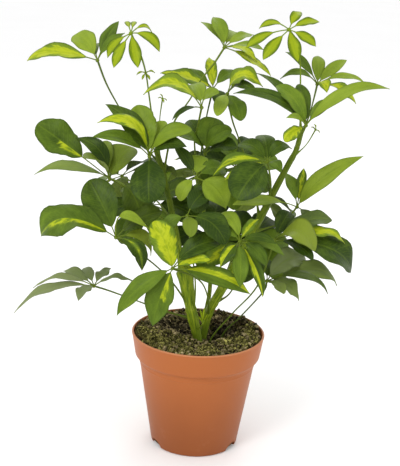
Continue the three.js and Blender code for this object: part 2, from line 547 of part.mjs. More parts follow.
// Stalks of the compound leaves, from a stem or from the soil
const leaves = [...LEAVES, ...FAR_LEAVES].map((leaf, row) => {
  const hub = fromSheet(leaf.hub);
  const vias = leaf.via.map(fromSheet);
  const [from, ...where] = leaf.root;
  const grounded = from === 'ground';
  const root = grounded
    ? [new THREE.Vector3(where[0], where[1], STALK_FOOT_Z), new THREE.Vector3(where[0], where[1], SOIL_TOP)]
    : [glide(stems[from].guide, where[0])];
  const guide = [...root, ...vias, hub];
  const points = [];
  const steps = STALK_STEPS + vias.length;
  for (let i = 0; i <= steps; i += 1) {
    points.push(glide(guide, i * (guide.length - 1) / steps));
  }
  const small = leaf.name.startsWith('shoot');
  const radius = small ? SHOOT_RADIUS : STALK_RADIUS;
  const stalk = (extra) => bar(stretched(points, extra), points.map(() => radius + extra), STALK_SIDES);
  let solid = stalk(0);
  if (grounded) {
    soil = soil.subtract(stalk(GAP));
  } else {
    solid = solid.subtract(stems[from].wide);
  }
  const hubRadius = small ? SHOOT_HUB_RADIUS : HUB_RADIUS;
  solid = solid.add(ball(hub, hubRadius));
  place(leaf.name, solid);
  const axis = new THREE.Vector3(leaf.lean[0], -leaf.lean[1], 1).normalize();
  return { ...leaf, row, hub, solid, axis, hubRadius };
});
for (const { wide } of Object.values(stems)) {
  soil = soil.subtract(wide);
}
place('soil', soil);

// Leaflet tips: read ones, or an even ring around the leaf's axis
function tipsOf(leaf) {
  if (leaf.tips) {
    return leaf.tips.map(([across, down, depth, width, arch, share, peak], item) => ({
      tip: fromSheet([across, down, leaf.hub.y + depth]),
      shape: {
        width,
        arch,
        share: share ?? PETIOLULE_SHARE,
        peak: peak ?? ARCH_PLACE,
        hubRadius: leaf.hubRadius,
        outline: width < PLAIN_WIDTH && leaf.form[item] === 'r' ? PLAIN_OUTLINE : OUTLINES[leaf.form[item]],
      },
    }));
  }
  const [count, length, width, droop, first] = leaf.ring;
  const right = new THREE.Vector3(1, 0, 0).addScaledVector(leaf.axis, -leaf.axis.x).normalize();
  const ahead = leaf.axis.clone().cross(right);
  return Array.from({ length: count }, (unused, item) => {
    const angle = first + item * 2 * Math.PI / count;
    const reach = length * (1 + LENGTH_SPREAD * spread(leaf.row, item));
    const out = right.clone().multiplyScalar(Math.cos(angle)).addScaledVector(ahead, Math.sin(angle));
    const tip = leaf.hub.clone()
      .addScaledVector(out, reach * Math.cos(droop))
      .addScaledVector(leaf.axis, -reach * Math.sin(droop));
    return {
      tip,
      shape: {
        width: width * (1 + WIDTH_SPREAD * spread(item, leaf.row)),
        arch: ARCH_SHARE * reach,
        share: PETIOLULE_SHARE,
        peak: ARCH_PLACE,
        hubRadius: leaf.hubRadius,
        outline: PLAIN_OUTLINE,
      },
    };
  });
}

for (const leaf of leaves) {
  for (const { tip, shape } of tipsOf(leaf)) {
    const blade = fit(leaf.name, leaf.hub, tip, shape, leaf.axis);
    if (blade) {
      leaf.solid = leaf.solid.add(blade);
    }
  }
  if (leaf.bud) {
    const [reading, form, tips] = leaf.bud;
    const bud = { hub: fromSheet(reading), form, tips, hubRadius: BUD_ROOT };
    for (const { tip, shape } of tipsOf(bud)) {
      const blade = fit(leaf.name, bud.hub, tip, shape, leaf.axis);
      if (blade) {
        leaf.solid = leaf.solid.add(blade);
      }
    }
  }
}

const group = new THREE.Group();
group.name = 'umbrella_plant';

function addMesh(name, solid, { color, roughness }) {
  const material = new THREE.MeshStandardMaterial({ color, roughness, metalness: 0 });
  const mesh = new THREE.Mesh(geometryOf(solid), material);
  mesh.name = name;
  group.add(mesh);
}

addMesh('pot', pot, LOOKS.pot);
addMesh('soil', soil, LOOKS.soil);
for (const [name, { solid }] of Object.entries(stems)) {
  addMesh(name, solid, LOOKS.stem);
}
for (const { name, solid } of leaves) {
  addMesh(name, solid, YOUNG_LEAVES.includes(name) ? LOOKS.young : LOOKS.leaf);
}

export default group;
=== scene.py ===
import math

import bpy
import numpy as np
from mathutils import Matrix, Vector, noise


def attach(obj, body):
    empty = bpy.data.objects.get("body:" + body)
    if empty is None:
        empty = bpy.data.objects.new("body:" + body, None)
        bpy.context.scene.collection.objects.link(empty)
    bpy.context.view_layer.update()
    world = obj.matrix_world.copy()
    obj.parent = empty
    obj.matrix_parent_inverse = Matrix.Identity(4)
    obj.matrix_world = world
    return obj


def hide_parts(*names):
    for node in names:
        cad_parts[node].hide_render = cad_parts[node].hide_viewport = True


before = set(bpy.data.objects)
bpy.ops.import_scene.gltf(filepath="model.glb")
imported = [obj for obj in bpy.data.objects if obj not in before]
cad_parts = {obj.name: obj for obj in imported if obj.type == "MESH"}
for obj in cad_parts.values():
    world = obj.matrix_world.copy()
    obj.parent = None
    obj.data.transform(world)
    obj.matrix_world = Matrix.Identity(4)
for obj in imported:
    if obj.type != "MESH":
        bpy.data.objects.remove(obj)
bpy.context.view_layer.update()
scene = bpy.context.scene

MM = 0.001
TAU = 2 * math.pi

# Camera, and the upright sheet on which the plant is drawn from the front.
# A reading is (across, down, depth); depth is the Y of the point in millimetres.
EYE = np.array((-2.2, -900, 459))
EYE_PITCH = 0.282
EYE_ROLL = 0.043
SHEET_SCALE = 1062
SHEET_MIDDLE = (200, 233)
SHEET_LONG_SIDE = 466
SENSOR = 36
RIGHT = np.array((1.0, 0, 0))
UP = np.array((0, 0, 1.0))
AHEAD = np.array((0, math.cos(EYE_PITCH), -math.sin(EYE_PITCH)))
ABOVE = np.array((0, math.sin(EYE_PITCH), math.cos(EYE_PITCH)))

# Pot and soil
POT_HEIGHT = 106
RIM_RADIUS = 60
RIM_ROUND = 0.7
RIM_HEIGHT = 2.1
COLLAR_TOP_RADIUS = 59.6
COLLAR_FOOT_RADIUS = 56.5
COLLAR_FOOT_Z = 85
WALL_TOP_RADIUS = 52.7
WALL_TOP_Z = 81.4
BASE_RADIUS = 39.8
BASE_ROUND = 1.2
WALL = 1.3
FLOOR = 1.8
POT_SIDES = 144
NOTCHES = 3
NOTCH_WIDTH = 17
NOTCH_HEIGHT = 6.2
NOTCH_DEPTH = 8
NOTCH_FIRST = math.pi / 2
SOIL_TOP = 103.4
SOIL_EDGE_DROP = 0.4
LUMP_HEIGHT = 1.5
LUMP_ACROSS = 0.17
LUMP_ALONG = 0.21
LUMP_SHIFTS = (1, 2)
HOLLOW_PLACE = (15, 3)
HOLLOW_RADIUS = 15
HOLLOW_DEPTH = 9

# Leaflets and stalks
STEM_FOOT_Z = 60
STALK_FOOT_Z = 80
HUB_RADIUS = 2.3
SHOOT_HUB_RADIUS = 1.2
STALK_RADIUS = 0.9
SHOOT_RADIUS = 0.6
PETIOLULE_RADIUS = 0.5
PETIOLULE_SHARE = 0.16
BLADE_FOLD = 0.22
ARCH_PLACE = 0.55
ARCH_SHARE = 0.12
LENGTH_SPREAD = 0.12
WIDTH_SPREAD = 0.1
SEED_ROW = 12.9898
SEED_ITEM = 78.233
SEED_SCALE = 43758.5453
SLIDES = (0, 5, -5, 10, -10, 15, -15, 21, -21, 28, -28, 36, -36)
RISES = (0, 4, -4, 8, -8, 13, -13)
SHORTER = (1, 0.88, 0.76, 0.64)
SAME_POINT = 0.05

# Stems: the radius at each reading, and the readings from the soil upward
STEMS = {
    "stem_left": ((3.8, 4.6, 5, 6.6, 8.2, 3.4, 2.9, 2.7, 2.5, 2.4, 2.3), (
        (199, 344, -14), (194.5, 325, -14), (189.5, 303, -14), (186.5, 284, -13), (184.5, 271, -12),
        (181.5, 264, -11), (179, 250, -8), (173, 218, -5), (167, 190, -2), (161, 166, 0),
        (156, 150, 2))),
    "stem_right": ((3.2, 3.9, 4.4, 4.2, 3.6, 3.2, 3, 2.7, 2.3, 2), (
        (203, 336, -1), (209, 312, 0), (221, 290, 0), (236, 263, 0), (251, 235, -2), (265, 209, -4),
        (276, 187.5, -5), (288, 165, -6), (296, 150, -7), (302, 129, -8))),
    "stem_back": ((2.2, 2.1, 2, 1.9, 1.9, 1.8, 1.7, 1.5), (
        (204, 331, 13), (206, 312, 14), (209.5, 292, 16), (210, 270, 18), (208, 250, 19),
        (204, 215, 21), (200, 185, 20), (195, 158, 16))),
}

# Compound leaves that the front view shows, nearest first: name, hub, root (stem and place along
# it, or place in the ground), readings that the stalk passes, lean of the axis to the right and
# forward, colouring and outline (round, pointed or slender) of each leaflet, and the leaflets:
# across, down, depth from the hub, width, arch and, where unusual, share of the petiolule and
# place of the arch.
LEAVES = (
    ("leaf_front", (172.5, 268.5, -62), ("stem_right", 0.9), ((208, 298, -24), (199, 280, -46)), (-0.1, 1),
     "YmBdyH", "rpprrp",
     ((154, 221, 12, 23, 5, 0.04), (116.6, 316, -8, 17, 8, 0.06), (152.5, 326, -6, 24, 4, 0.06),
      (222, 241, 8, 19, 9), (210, 260, -8, 10, 4), (250.6, 294.4, -8, 18, 7, 0.14))),
    ("leaf_front_right", (239.6, 241.4, -54), ("stem_right", 2.2), ((228, 268, -28),), (0.1, 0.9),
     "hlmsdmhmd", "prspsspps",
     ((262.8, 297.5, -12, 11, 7, 0.1), (222, 212.6, 14, 12, 8, 0.12), (221, 229, -4, 8, 3),
      (259, 219, 14, 9, 4, 0.1), (276, 244, -10, 9, 6, 0.08), (284.6, 256, 2, 9, 6, 0.08),
      (220, 268, -16, 12, 4), (240, 288, -20, 14, 4, 0.1), (266, 266, -20, 13, 6))),
    ("leaf_centre_low", (187, 216, -46), ("stem_left", 1.4),
     ((195, 297, -20), (195, 278, -26), (191, 246, -34)), (0.1, 0.9), "dmOd", "rprr",
     ((225.6, 244, -10, 23, 10), (163, 231, -6, 13, 4), (191, 237, -22, 13, 5), (206, 192, 14, 17, 5))),
    ("leaf_left_low", (116, 237.5, -36), ("stem_left", 1.7), ((172, 282, -24), (150, 261, -31)),
     (-0.3, 0.8), "wdluto", "rrprsp",
     ((41, 235, -8, 35, 18, 0.08, 0.78), (89, 180, 14, 30, 4), (149, 229, -12, 10, 19, 0.4, 0.5),
      (162, 212, 0, 20, 5), (142, 271, -12, 14, 17, 0.1), (151, 256, 4, 12, 14, 0.14))),
    ("leaf_left_crown", (149.5, 156.5, -24), ("stem_left", 7.6), ((158, 175, -9),), (-0.2, 0.8), "LlldYdem",
     "rrrppsrp",
     ((137, 105, 14, 24, 4, 0.1), (165, 121, 10, 15, 4), (192, 130, -4, 17, 9), (105, 104, 8, 18, 9, 0.08),
      (97, 123, -14, 14, 17, 0.1, 0.66), (187, 147, -14, 14, 7), (149, 203, -26, 30, 5, 0.08),
      (92, 137, -20, 15, 8))),
    ("leaf_left", (109.7, 178.3, -16), ("stem_left", 6.6), ((140, 198, -12),), (-0.4, 0.7), "BkdOOOu",
     "rpprrrr",
     ((37, 124, 10, 31, 1, 0.36), (34, 174.5, -10, 11, 10, 0.08), (75, 138, 12, 14, 14),
      (84, 158, -20, 19, 6), (132, 147, 18, 31, 4, 0.08), (101, 142, 28, 19, 5),
      (141, 223, -21, 26, 14, 0.3, 0.4))),
    ("leaf_lowest_left", (94, 286, -12), ("stem_left", 1.3),
     ((168, 312, -16), (143, 303, -14), (110, 291, -12)), (-0.2, 0.3), "ggGGGGG", "ppppppp",
     ((14, 313, -10, 14, 12, 0.08), (33, 288, 6, 9, 10, 0.1), (63, 271, 22, 12, 4), (111, 268, 20, 12, 3),
      (136, 284, 4, 8, 8, 0.1), (78, 301, -24, 14, 5), (84, 268, 28, 11, 4))),
    ("leaf_right_crown", (267.8, 162.5, -28), ("stem_right", 5.3), ((271, 185, -16),), (0.1, 0.9),
     "ysdddme", "ppprrpr",
     ((224, 181, -12, 10, 5, 0.1), (213, 176, -2, 12, 11, 0.1), (292, 149, 8, 12, 10, 0.1),
      (238, 145, 14, 15, 7, 0.1), (262, 135, 24, 17, 5, 0.1), (281, 173, -18, 11, 4),
      (237, 200, -22, 32, 6, 0.1))),
    ("leaf_centre", (196, 178, -22), ("stem_back", 5.6), ((199, 194, -4),), (0, 0.9), "dlmlld", "prrprr",
     ((173, 144, 12, 11, 4), (201, 155.7, 14, 16, 4), (226, 172, -2, 18, 7), (226, 209, -12, 26, 8),
      (180, 201, -14, 13, 6), (198, 213, -20, 19, 5))),
    ("leaf_lower_right", (275, 240, -16), ("ground", 11, -16), ((232.4, 313.5, -22), (257.6, 285.4, -20)),
     (0.3, 0.7), "oDyddd", "rrprrr",
     ((315, 251, -12, 27, 15, 0.1), (332, 220, 16, 17, 9), (345, 244, 10, 12, 12, 0.2, 0.7),
      (351, 271, 2, 35, 13, 0.16, 0.72), (313, 260, -18, 14, 6), (290, 212, 26, 17, 5))),
    ("leaf_lowest_right", (267, 281, -14), ("ground", 22, -2), ((240.8, 316.3, -10), (263.2, 291.8, -13)),
     (0.3, 0.6), "GkDkkd", "rpprpr",
     ((305, 257, 12, 22, 9, 0.1), (337, 286, 0, 18, 16, 0.12, 0.75), (328, 294, -12, 10, 14, 0.16, 0.7),
      (284, 294, -24, 13, 4, 0.1), (299, 301, -20, 17, 8, 0.1), (265, 259, 22, 12, 3))),
    ("leaf_right", (297, 207, 10), ("stem_right", 4.1), ((283, 222, 0),), (0.2, 0.8), "lmslu", "pspsr",
     ((364, 156, 6, 17, 9, 0.05, 0.45), (286, 173, 18, 12, 4), (304, 168, 22, 10, 2),
      (232, 205, -34, 13, 6, 0.24), (314, 231, -20, 12, 5))),
    ("leaf_upper_right", (305.9, 125.6, -26), ("stem_right", 8.1), (), (0.1, 0.8), "lmmdddyl", "pprrpprp",
     ((390, 89, -4, 13, 14, 0.05, 0.6), (333, 100, 12, 11, 4), (276, 86, 8, 17, 7, 0.08),
      (299, 84, 20, 13, 4, 0.1), (233, 93.5, -10, 13, 12, 0.06), (256, 73, 14, 9, 9, 0.08),
      (285, 142, -14, 12, 3), (286, 118, -10, 8, 4, 0.1))),
    ("leaf_middle_top_front", (201.6, 107.7, -20), ("stem_back", 6.7), ((194.5, 141, 6), (198, 125, -8)),
     (-0.1, 0.7), "zdll", "psrr",
     ((143, 95, -5, 18, 17, 0.1, 0.6), (172, 120, -18, 6, 5), (194, 84, 24, 16, 5), (219, 93, -10, 12, 5))),
    ("leaf_middle", (205, 154, 5), ("stem_back", 6.5), (), (0, 0.7), "dmmdm", "rrrrr",
     ((189, 120, 12, 19, 4), (215, 118, 12, 25, 4), (232, 130, 2, 19, 6), (237, 148, -8, 17, 5),
      (176, 135, 4, 16, 6))),
    ("leaf_middle_top_right", (227.4, 93.8, 6), ("stem_right", 4.6),
     ((252, 178, 7), (240, 142, 10), (231.9, 118.6, 9)), (0.1, 0.8), "zdlml", "prrrr",
     ((263, 87, -8, 19, 15, 0.05), (256, 93, -16, 10, 8), (217, 116, -28, 12, 4, 0.1),
      (241, 121, -22, 16, 4, 0.08), (252, 69, 20, 10, 4))),
    ("leaf_middle_top_back", (213, 89, 40), ("stem_back", 6.4), ((206, 120, 33),), (0, 0.6), "zmYmd",
     "prspr",
     ((160, 73, 4, 17, 4, 0.06), (183, 71, 16, 12, 4), (209, 57.3, 22, 11, 4, 0.06), (240, 74, 12, 14, 6),
      (222, 107, -22, 14, 4))),
    ("leaf_young_left", (131, 33.3, -12), ("stem_left", 9.6),
     ((153, 124, 1), (149, 95, -3), (146, 74, -6), (141, 56, -9)), (0, 0.9), "nnnnnnn", "sssssss",
     ((138, 68, -14, 10.5, 1, 0.06), (113.6, 68, -10, 9.5, 3, 0.2), (107.5, 58, 2, 9.5, 4, 0.16),
      (159.5, 52, -6, 10.5, 7, 0.12), (152.7, 33.9, 8, 5, 7, 0.16), (126, 21.5, 20, 5, 2, 0.3),
      (135, 21.5, 20, 5, 2, 0.3))),
    ("leaf_young_right", (289, 29.7, 6), ("stem_right", 8.8),
     ((300, 104, -4), (300.5, 80, 0), (300, 61, 2), (297, 42, 4)), (0, 0.8), "nnnnnnn", "sssssss",
     ((259, 28.5, 2, 8.5, 6, 0.22), (246, 48, -8, 10.5, 4, 0.3), (263, 60, -14, 11, 2, 0.2),
      (298, 62, -16, 11.5, 1, 0.05), (316, 46.5, -8, 11.5, 2, 0.16), (319.5, 22, 6, 9.5, 3, 0.16),
      (301, 12, 16, 9.5, 4, 0.16))),
    ("leaf_upper_left", (97.5, 60.4, 24), ("stem_left", 9.1),
     ((139, 140, 12), (122, 112, 18), (107, 85, 22)), (-0.2, 0.7), "ylmmm", "prppr",
     ((27, 61, -6, 20, 8, 0.1, 0.74), (76, 34, 20, 21, 4), (125, 33, 8, 11, 4), (119, 21, 18, 13, 3),
      (92, 48, 40, 12, 6))),
    ("leaf_upper_right_back", (317.3, 84.2, 30), ("stem_right", 8.4), ((309, 116, 7), (314, 98, 20)),
     (0.1, 0.7), "lllmmyy", "rspspps",
     ((318, 56, 22, 12, 3, 0.08), (347, 60, 16, 11.5, 3, 0.08), (365.8, 84, 4, 8, 8),
      (285.5, 52, 12, 10, 5), (280, 79, -2, 9, 9), (327, 93, -14, 12, 6), (356, 104, -10, 11, 7))),
    ("leaf_top", (224.4, 47.6, 38), ("stem_left", 8.6),
     ((172.6, 127, 10), (181, 112, 15), (190.5, 98.5, 21), (201.3, 79.3, 28), (213, 65, 34)), (0.1, 0.5),
     "llllYYl", "sspsppr",
     ((200.8, 22, 14, 8, 4), (213, 17, 22, 15, 5, 0.08), (254, 35, 20, 11, 4), (264, 50, -2, 10, 4),
      (257, 62, -14, 10, 6), (271, 76, -24, 11, 4), (235, 32, 26, 12, 4))),
    ("shoot_left", (162.4, 99, 6), ("stem_left", 9.3), ((159.6, 122, 8),), (0, 0.5), "nnnn", "ssss",
     ((158, 98, 2, 3, 1), (160, 94, 4, 3, 1), (167, 96, 0, 3, 1), (164, 103, -5, 3, 1))),
    ("shoot_low", (203, 324, -25), ("stem_left", 0.7), (), (0, 0.5), "nnnn", "ssss",
     ((200, 309, 4, 4, 1), (205, 307, 2, 4, 1), (208, 314, -2, 4, 1), (197.5, 316, -4, 4, 1))),
    ("shoot_right", (315.4, 130, -2), ("stem_right", 7.5), ((306, 145, -4),), (0, 0.5), "nnn", "sss",
     ((311, 127, 2, 3, 1), (314, 124, 4, 3, 1), (320, 128, 1, 3, 1))),
)

# Tuft on a leaf's stalk: its leaf, place and leaflets
TUFT_LEAF = "leaf_young_left"
TUFT_PLACE = (145.6, 73, -6)
TUFT = ((136.5, 75, -2, 4, 2), (155, 73, 2, 4, 2), (142, 80, -5, 4, 1), (150, 80, -4, 4, 1))

# Compound leaves of the far side: the last bracket is number, length, width and droop of their
# leaflets, and the turn of the first.
FAR_LEAVES = (
    ("leaf_back_middle", (236, 167, 34), ("stem_right", 5.6), ((262, 172, 14),),
     (0, 0.8), "mdmdmmd", (7, 42, 24, 0.1, 0.2)),
    ("leaf_back_left", (152, 205, 34), ("stem_left", 5.9), ((166, 214, 14),),
     (-0.3, 0.7), "dmmdmmd", (7, 42, 24, 0.1, 0.5)),
    ("leaf_back_right", (248, 244, 30), ("stem_right", 1.4), ((230, 293, 8), (242, 266, 20)),
     (0.1, 0.8), "mddmsdm", (7, 44, 24, 0.1, 0.1)),
    ("leaf_back_low", (212, 232, 56), ("stem_back", 3.6), ((208, 244, 36),),
     (0, 0.6), "mdmdmd", (6, 46, 25, 0.1, 0.4)),
    ("leaf_far_top_left", (180, 182, 72), ("stem_left", 7.2), ((172, 190, 34),),
     (-0.2, -0.5), "mmbdm", (5, 46, 22, 0.15, 0.3)),
    ("leaf_far_left", (122, 176, 72), ("stem_left", 6.9), ((150, 194, 34),),
     (-0.6, -0.5), "dmsmd", (5, 46, 21, 0.2, 0.5)),
    ("leaf_far_middle", (214, 172, 102), ("stem_back", 5.2), ((205, 192, 54),),
     (0, -0.8), "mdmhm", (5, 50, 22, 0.15, 0.2)),
    ("leaf_far_right", (256, 198, 82), ("stem_right", 3.6), ((264, 212, 38),),
     (0.5, -0.6), "dmmbd", (5, 48, 21, 0.2, 0.6)),
)

# Colouring of a leaflet: tone from dark to light, width of the yellow part, how far it reaches
# towards the tip, its side (0 is both), youth, and share of dull olive, or below 0 share of grey
# that is a painted sheen. What a row leaves out is 0.
COLOURING = {
    "e": (0,), "d": (0.08,), "m": (0.42,), "l": (0.85,), "L": (0.85, 0.3, 0.4),
    "o": (0.6, 0, 0, 0, 0, 0.75), "O": (0.35, 0, 0, 0, 0, 0.4), "u": (0, 0, 0, 0, 0, 0.12),
    "w": (0.35, 0.36, 1.1, -1), "t": (0.12, 0.13, 1.1), "g": (0.7, 0, 0, 0, 0, -0.75),
    "k": (0.65, 0, 0, 0, 0, -0.35), "G": (0.5, 0, 0, 0, 0, -0.6), "D": (0.25, 0, 0, 0, 0, -0.15),
    "Y": (0.6, 0.95, 1.2), "y": (0.6, 0.8, 1), "z": (0.55, 0.6, 0.95), "s": (0.4, 0.42, 1.1),
    "b": (0.3, 0.5, 0.42), "B": (0.35, 0.45, 0.4, -1), "h": (0.25, 0.8, 1, 1),
    "H": (0.25, 0.8, 1, -1), "n": (0.7, 0, 0, 0, 1),
}


def unit(vector):
    return vector / np.linalg.norm(vector)


def square_to(vector, along):
    return unit(vector - along * np.dot(vector, along))


def from_sheet(reading):
    across, down, depth = reading
    u = across - SHEET_MIDDLE[0]
    v = down - SHEET_MIDDLE[1]
    right = (u * math.cos(EYE_ROLL) + v * math.sin(EYE_ROLL)) / SHEET_SCALE
    rise = (u * math.sin(EYE_ROLL) - v * math.cos(EYE_ROLL)) / SHEET_SCALE
    ray = AHEAD + ABOVE * rise + RIGHT * right
    return EYE + ray * ((depth - EYE[1]) / ray[1])


def spread(row, item):
    """Seeded spread in -1 to 1 for a numbered item"""
    wave = math.sin(row * SEED_ROW + item * SEED_ITEM) * SEED_SCALE
    return 2 * (wave - math.floor(wave)) - 1


def glide(points, place):
    """Smooth line through points; place counts points from the first."""
    last = len(points) - 1
    i = min(int(place), last - 1)
    t = place - i
    b = points[i]
    c = points[i + 1]
    a = points[i - 1] if i > 0 else 2 * b - c
    d = points[i + 2] if i + 1 < last else 2 * c - b
    near = (c - a) / 2
    far = (d - b) / 2
    rise = c - b
    return b + t * (near + t * (3 * rise - 2 * near - far + t * (near + far - 2 * rise)))


# Points of a piece have three readings for the materials: place, look and kind
NOTHING = (0, 0, 0)


class Piece:
    """One mesh in the making: points in millimetres, faces, and the readings of the points"""

    def __init__(self, name):
        self.name = name
        self.points = []
        self.readings = {"place": [], "look": [], "kind": []}
        self.faces = []
        self.slots = []
        self.sharp = set()
        self.count = 0

    def add(self, points, faces, slot, place=NOTHING, look=NOTHING, kind=NOTHING, sharp=()):
        points = np.array(points, float)
        for rows, reading in zip(self.readings.values(), (place, look, kind)):
            rows.append(np.broadcast_to(np.array(reading, float), points.shape))
        start = self.count
        self.points.append(points)
        self.faces += [tuple(start + i for i in face) for face in faces]
        self.slots += slot if isinstance(slot, list) else [slot] * len(faces)
        self.sharp.update((start + a, start + b) for a, b in sharp)
        self.count += len(points)

    def build(self, *materials):
        mesh = bpy.data.meshes.new(self.name)
        points = np.concatenate(self.points) * MM
        mesh.from_pydata(points.tolist(), [], self.faces, shade_flat=False)
        for label, rows in self.readings.items():
            layer = mesh.attributes.new(label, "FLOAT_VECTOR", "POINT")
            layer.data.foreach_set("vector", np.concatenate(rows).astype(np.float32).ravel())
        mesh.polygons.foreach_set("material_index", self.slots)
        if self.sharp:
            for edge in mesh.edges:
                edge.use_edge_sharp = tuple(sorted(edge.vertices)) in self.sharp
        for material in materials:
            mesh.materials.append(material)
        mesh.validate()
        piece = bpy.data.objects.new(self.name, mesh)
        scene.collection.objects.link(piece)
        return piece


def circle(radius, sides, z):
    turns = [k * TAU / sides for k in range(sides)]
    return [np.array((radius * math.cos(turn), radius * math.sin(turn), z)) for turn in turns]


def strips(rings, sides):
    """Quads between rings of equal point counts"""
    faces = []
    for a in range(0, (rings - 1) * sides, sides):
        b = a + sides
        for i in range(sides):
            j = (i + 1) % sides
            faces.append((a + i, b + i, b + j, a + j))
    return faces


def closed_strips(rings, sides):
    """The same, with a face at each end"""
    last = (rings - 1) * sides
    return strips(rings, sides) + [tuple(range(sides)), tuple(range(last, last + sides))[::-1]]


def fan(tip, start, sides):
    """Triangles between a tip and the ring of points from start on"""
    return [(tip, start + k, start + (k + 1) % sides) for k in range(sides)]


def flipped(faces):
    return [face[::-1] for face in faces]


# A tube's rounded ends, in radii: a smaller ring beyond the last one and a tip beyond that
END_REACH = 0.75
END_SIZE = 0.66
END_TIP = 0.4
# Ribs round a stem
RIBS = 5


def tube(piece, centres, radii, sides, slot, look=NOTHING, kind=NOTHING, ribs=0):
    """Round bar along centres with rounded ends and, if asked, shallow ribs"""
    first = unit(centres[1] - centres[0])
    final = unit(centres[-1] - centres[-2])
    path = [centres[0] - first * radii[0] * END_REACH] + centres
    path.append(centres[-1] + final * radii[-1] * END_REACH)
    sizes = [radii[0] * END_SIZE] + list(radii) + [radii[-1] * END_SIZE]
    across = RIGHT if abs(first[0]) < 0.9 else UP
    points = []
    place = []
    total = 0
    for i, centre in enumerate(path):
        along = unit(path[min(i + 1, len(path) - 1)] - path[max(i - 1, 0)])
        across = square_to(across, along)
        other = np.cross(along, across)
        if i:
            total += np.linalg.norm(centre - path[i - 1])
        for k in range(sides):
            angle = k * TAU / sides
            size = sizes[i] * (1 + ribs * math.cos(RIBS * angle))
            points.append(centre + size * (math.cos(angle) * across + math.sin(angle) * other))
            place.append((total, k / sides, 0))
    top = len(path) * sides
    points += [path[0] - first * sizes[0] * END_TIP, path[-1] + final * sizes[-1] * END_TIP]
    place += [(0, 0, 0), (total, 0, 0)]
    faces = strips(len(path), sides) + fan(top, 0, sides) + flipped(fan(top + 1, top - sides, sides))
    piece.add(points, faces, slot, place, look, kind)


def knob(piece, centre, radius, slot, seed, look, kind=NOTHING, rings=7, sides=10, rough=0.16):
    """Small lumpy round body"""
    points = [centre + UP * radius]
    for r in range(1, rings):
        tilt = math.pi * r / rings
        for k, out in enumerate(circle(math.sin(tilt), sides, math.cos(tilt))):
            points.append(centre + out * radius * (1 + rough * spread(seed + r, k)))
    end = len(points)
    points.append(centre - UP * radius)
    quads = [tuple(1 + i for i in face) for face in strips(rings - 1, sides)]
    faces = fan(0, 1, sides) + quads + flipped(fan(end, end - sides, sides))
    piece.add(points, faces, slot, NOTHING, look, kind)


# Materials
def channel(value):
    """Linear value of a colour channel written 0 to 255"""
    share = value / 255
    return share / 12.92 if share <= 0.04045 else ((share + 0.055) / 1.055) ** 2.4


def colour(channels):
    return [channel(value) for value in channels] + [1]


class Value:
    """A number or colour in a material; its sums, differences and products are nodes."""

    def __init__(self, graph, socket):
        self.graph = graph
        self.socket = socket

    def __add__(self, other):
        return self.graph.math("ADD", self, other)

    def __sub__(self, other):
        return self.graph.math("SUBTRACT", self, other)

    def __mul__(self, other):
        return self.graph.math("MULTIPLY", self, other)


class Graph:
    """Short forms for building a node material"""

    def __init__(self, name):
        self.material = bpy.data.materials.new(name)
        self.material.use_nodes = True
        self.tree = self.material.node_tree
        self.shader = self.tree.nodes["Principled BSDF"]

    def put(self, socket, value):
        if isinstance(value, Value):
            self.tree.links.new(value.socket, socket)
        elif isinstance(value, tuple):
            socket.default_value = colour(value)
        else:
            socket.default_value = value

    def node(self, kind, inputs=None, **settings):
        """Outputs of a new node"""
        node = self.tree.nodes.new("ShaderNode" + kind)
        for key, value in settings.items():
            setattr(node, key, value)
        for key, value in (inputs or {}).items():
            self.put(node.inputs[key], value)
        return {output.name: Value(self, output) for output in node.outputs if output.enabled}

    def math(self, operation, *values):
        return self.node("Math", dict(enumerate(values)), operation=operation)["Value"]

    def step(self, value, low, high):
        """Smooth step of the value from low up to high, or down where low is above high"""
        values = {"Value": value, "From Min": low, "From Max": high}
        return self.node("MapRange", values, interpolation_type="SMOOTHSTEP")["Result"]

    def mix(self, factor, first, second):
        """Colour between two others; a factor outside 0 to 1 is cut."""
        values = {0: factor, 6: first, 7: second}
        return self.node("Mix", values, data_type="RGBA")["Result"]

    def split(self, name):
        source = self.node("Attribute", attribute_name=name)["Vector"]
        return tuple(self.node("SeparateXYZ", {0: source}).values())

    def noise(self, vector, scale, detail=3, roughness=0.55):
        values = {"Vector": vector, "Scale": scale, "Detail": detail, "Roughness": roughness}
        return self.node("TexNoise", values)["Fac"]

    def join(self, x, y, z):
        return self.node("CombineXYZ", {0: x, 1: y, 2: z})["Vector"]

    def spot(self):
        return self.node("TexCoord")["Object"]

    def bump(self, height, strength, distance):
        values = {"Height": height, "Strength": strength, "Distance": distance}
        self.put(self.shader.inputs["Normal"], self.node("Bump", values)["Normal"])

    def finish(self, body, rough, shine):
        self.put(self.shader.inputs["Base Color"], body)
        self.put(self.shader.inputs["Roughness"], rough)
        self.put(self.shader.inputs["Specular IOR Level"], shine)
        return self.material


# Side veins of a leaflet: their number along it and how far they run on towards its edge
VEINS = 10
VEIN_SLANT = 2.4

# Greens and yellows of a leaflet's upper side and underside
# The grey green is a painted sheen on the leaflet
TOP_GREENS = {
    "dark": (40, 60, 8), "middle": (90, 114, 27), "light": (130, 150, 42), "pale": (116, 140, 30),
    "lime": (90, 112, 6), "gold": (166, 177, 30), "dull": (124, 138, 42), "sheen_grey": (122, 130, 92),
    "citron": (139, 156, 14),
}
UNDER_GREENS = {
    "dark": (60, 76, 26), "middle": (104, 122, 48), "light": (144, 158, 74), "pale": (142, 156, 70),
    "lime": (112, 128, 28), "gold": (158, 170, 70), "dull": (138, 150, 78), "sheen_grey": (134, 142, 108),
    "citron": (146, 162, 54),
}


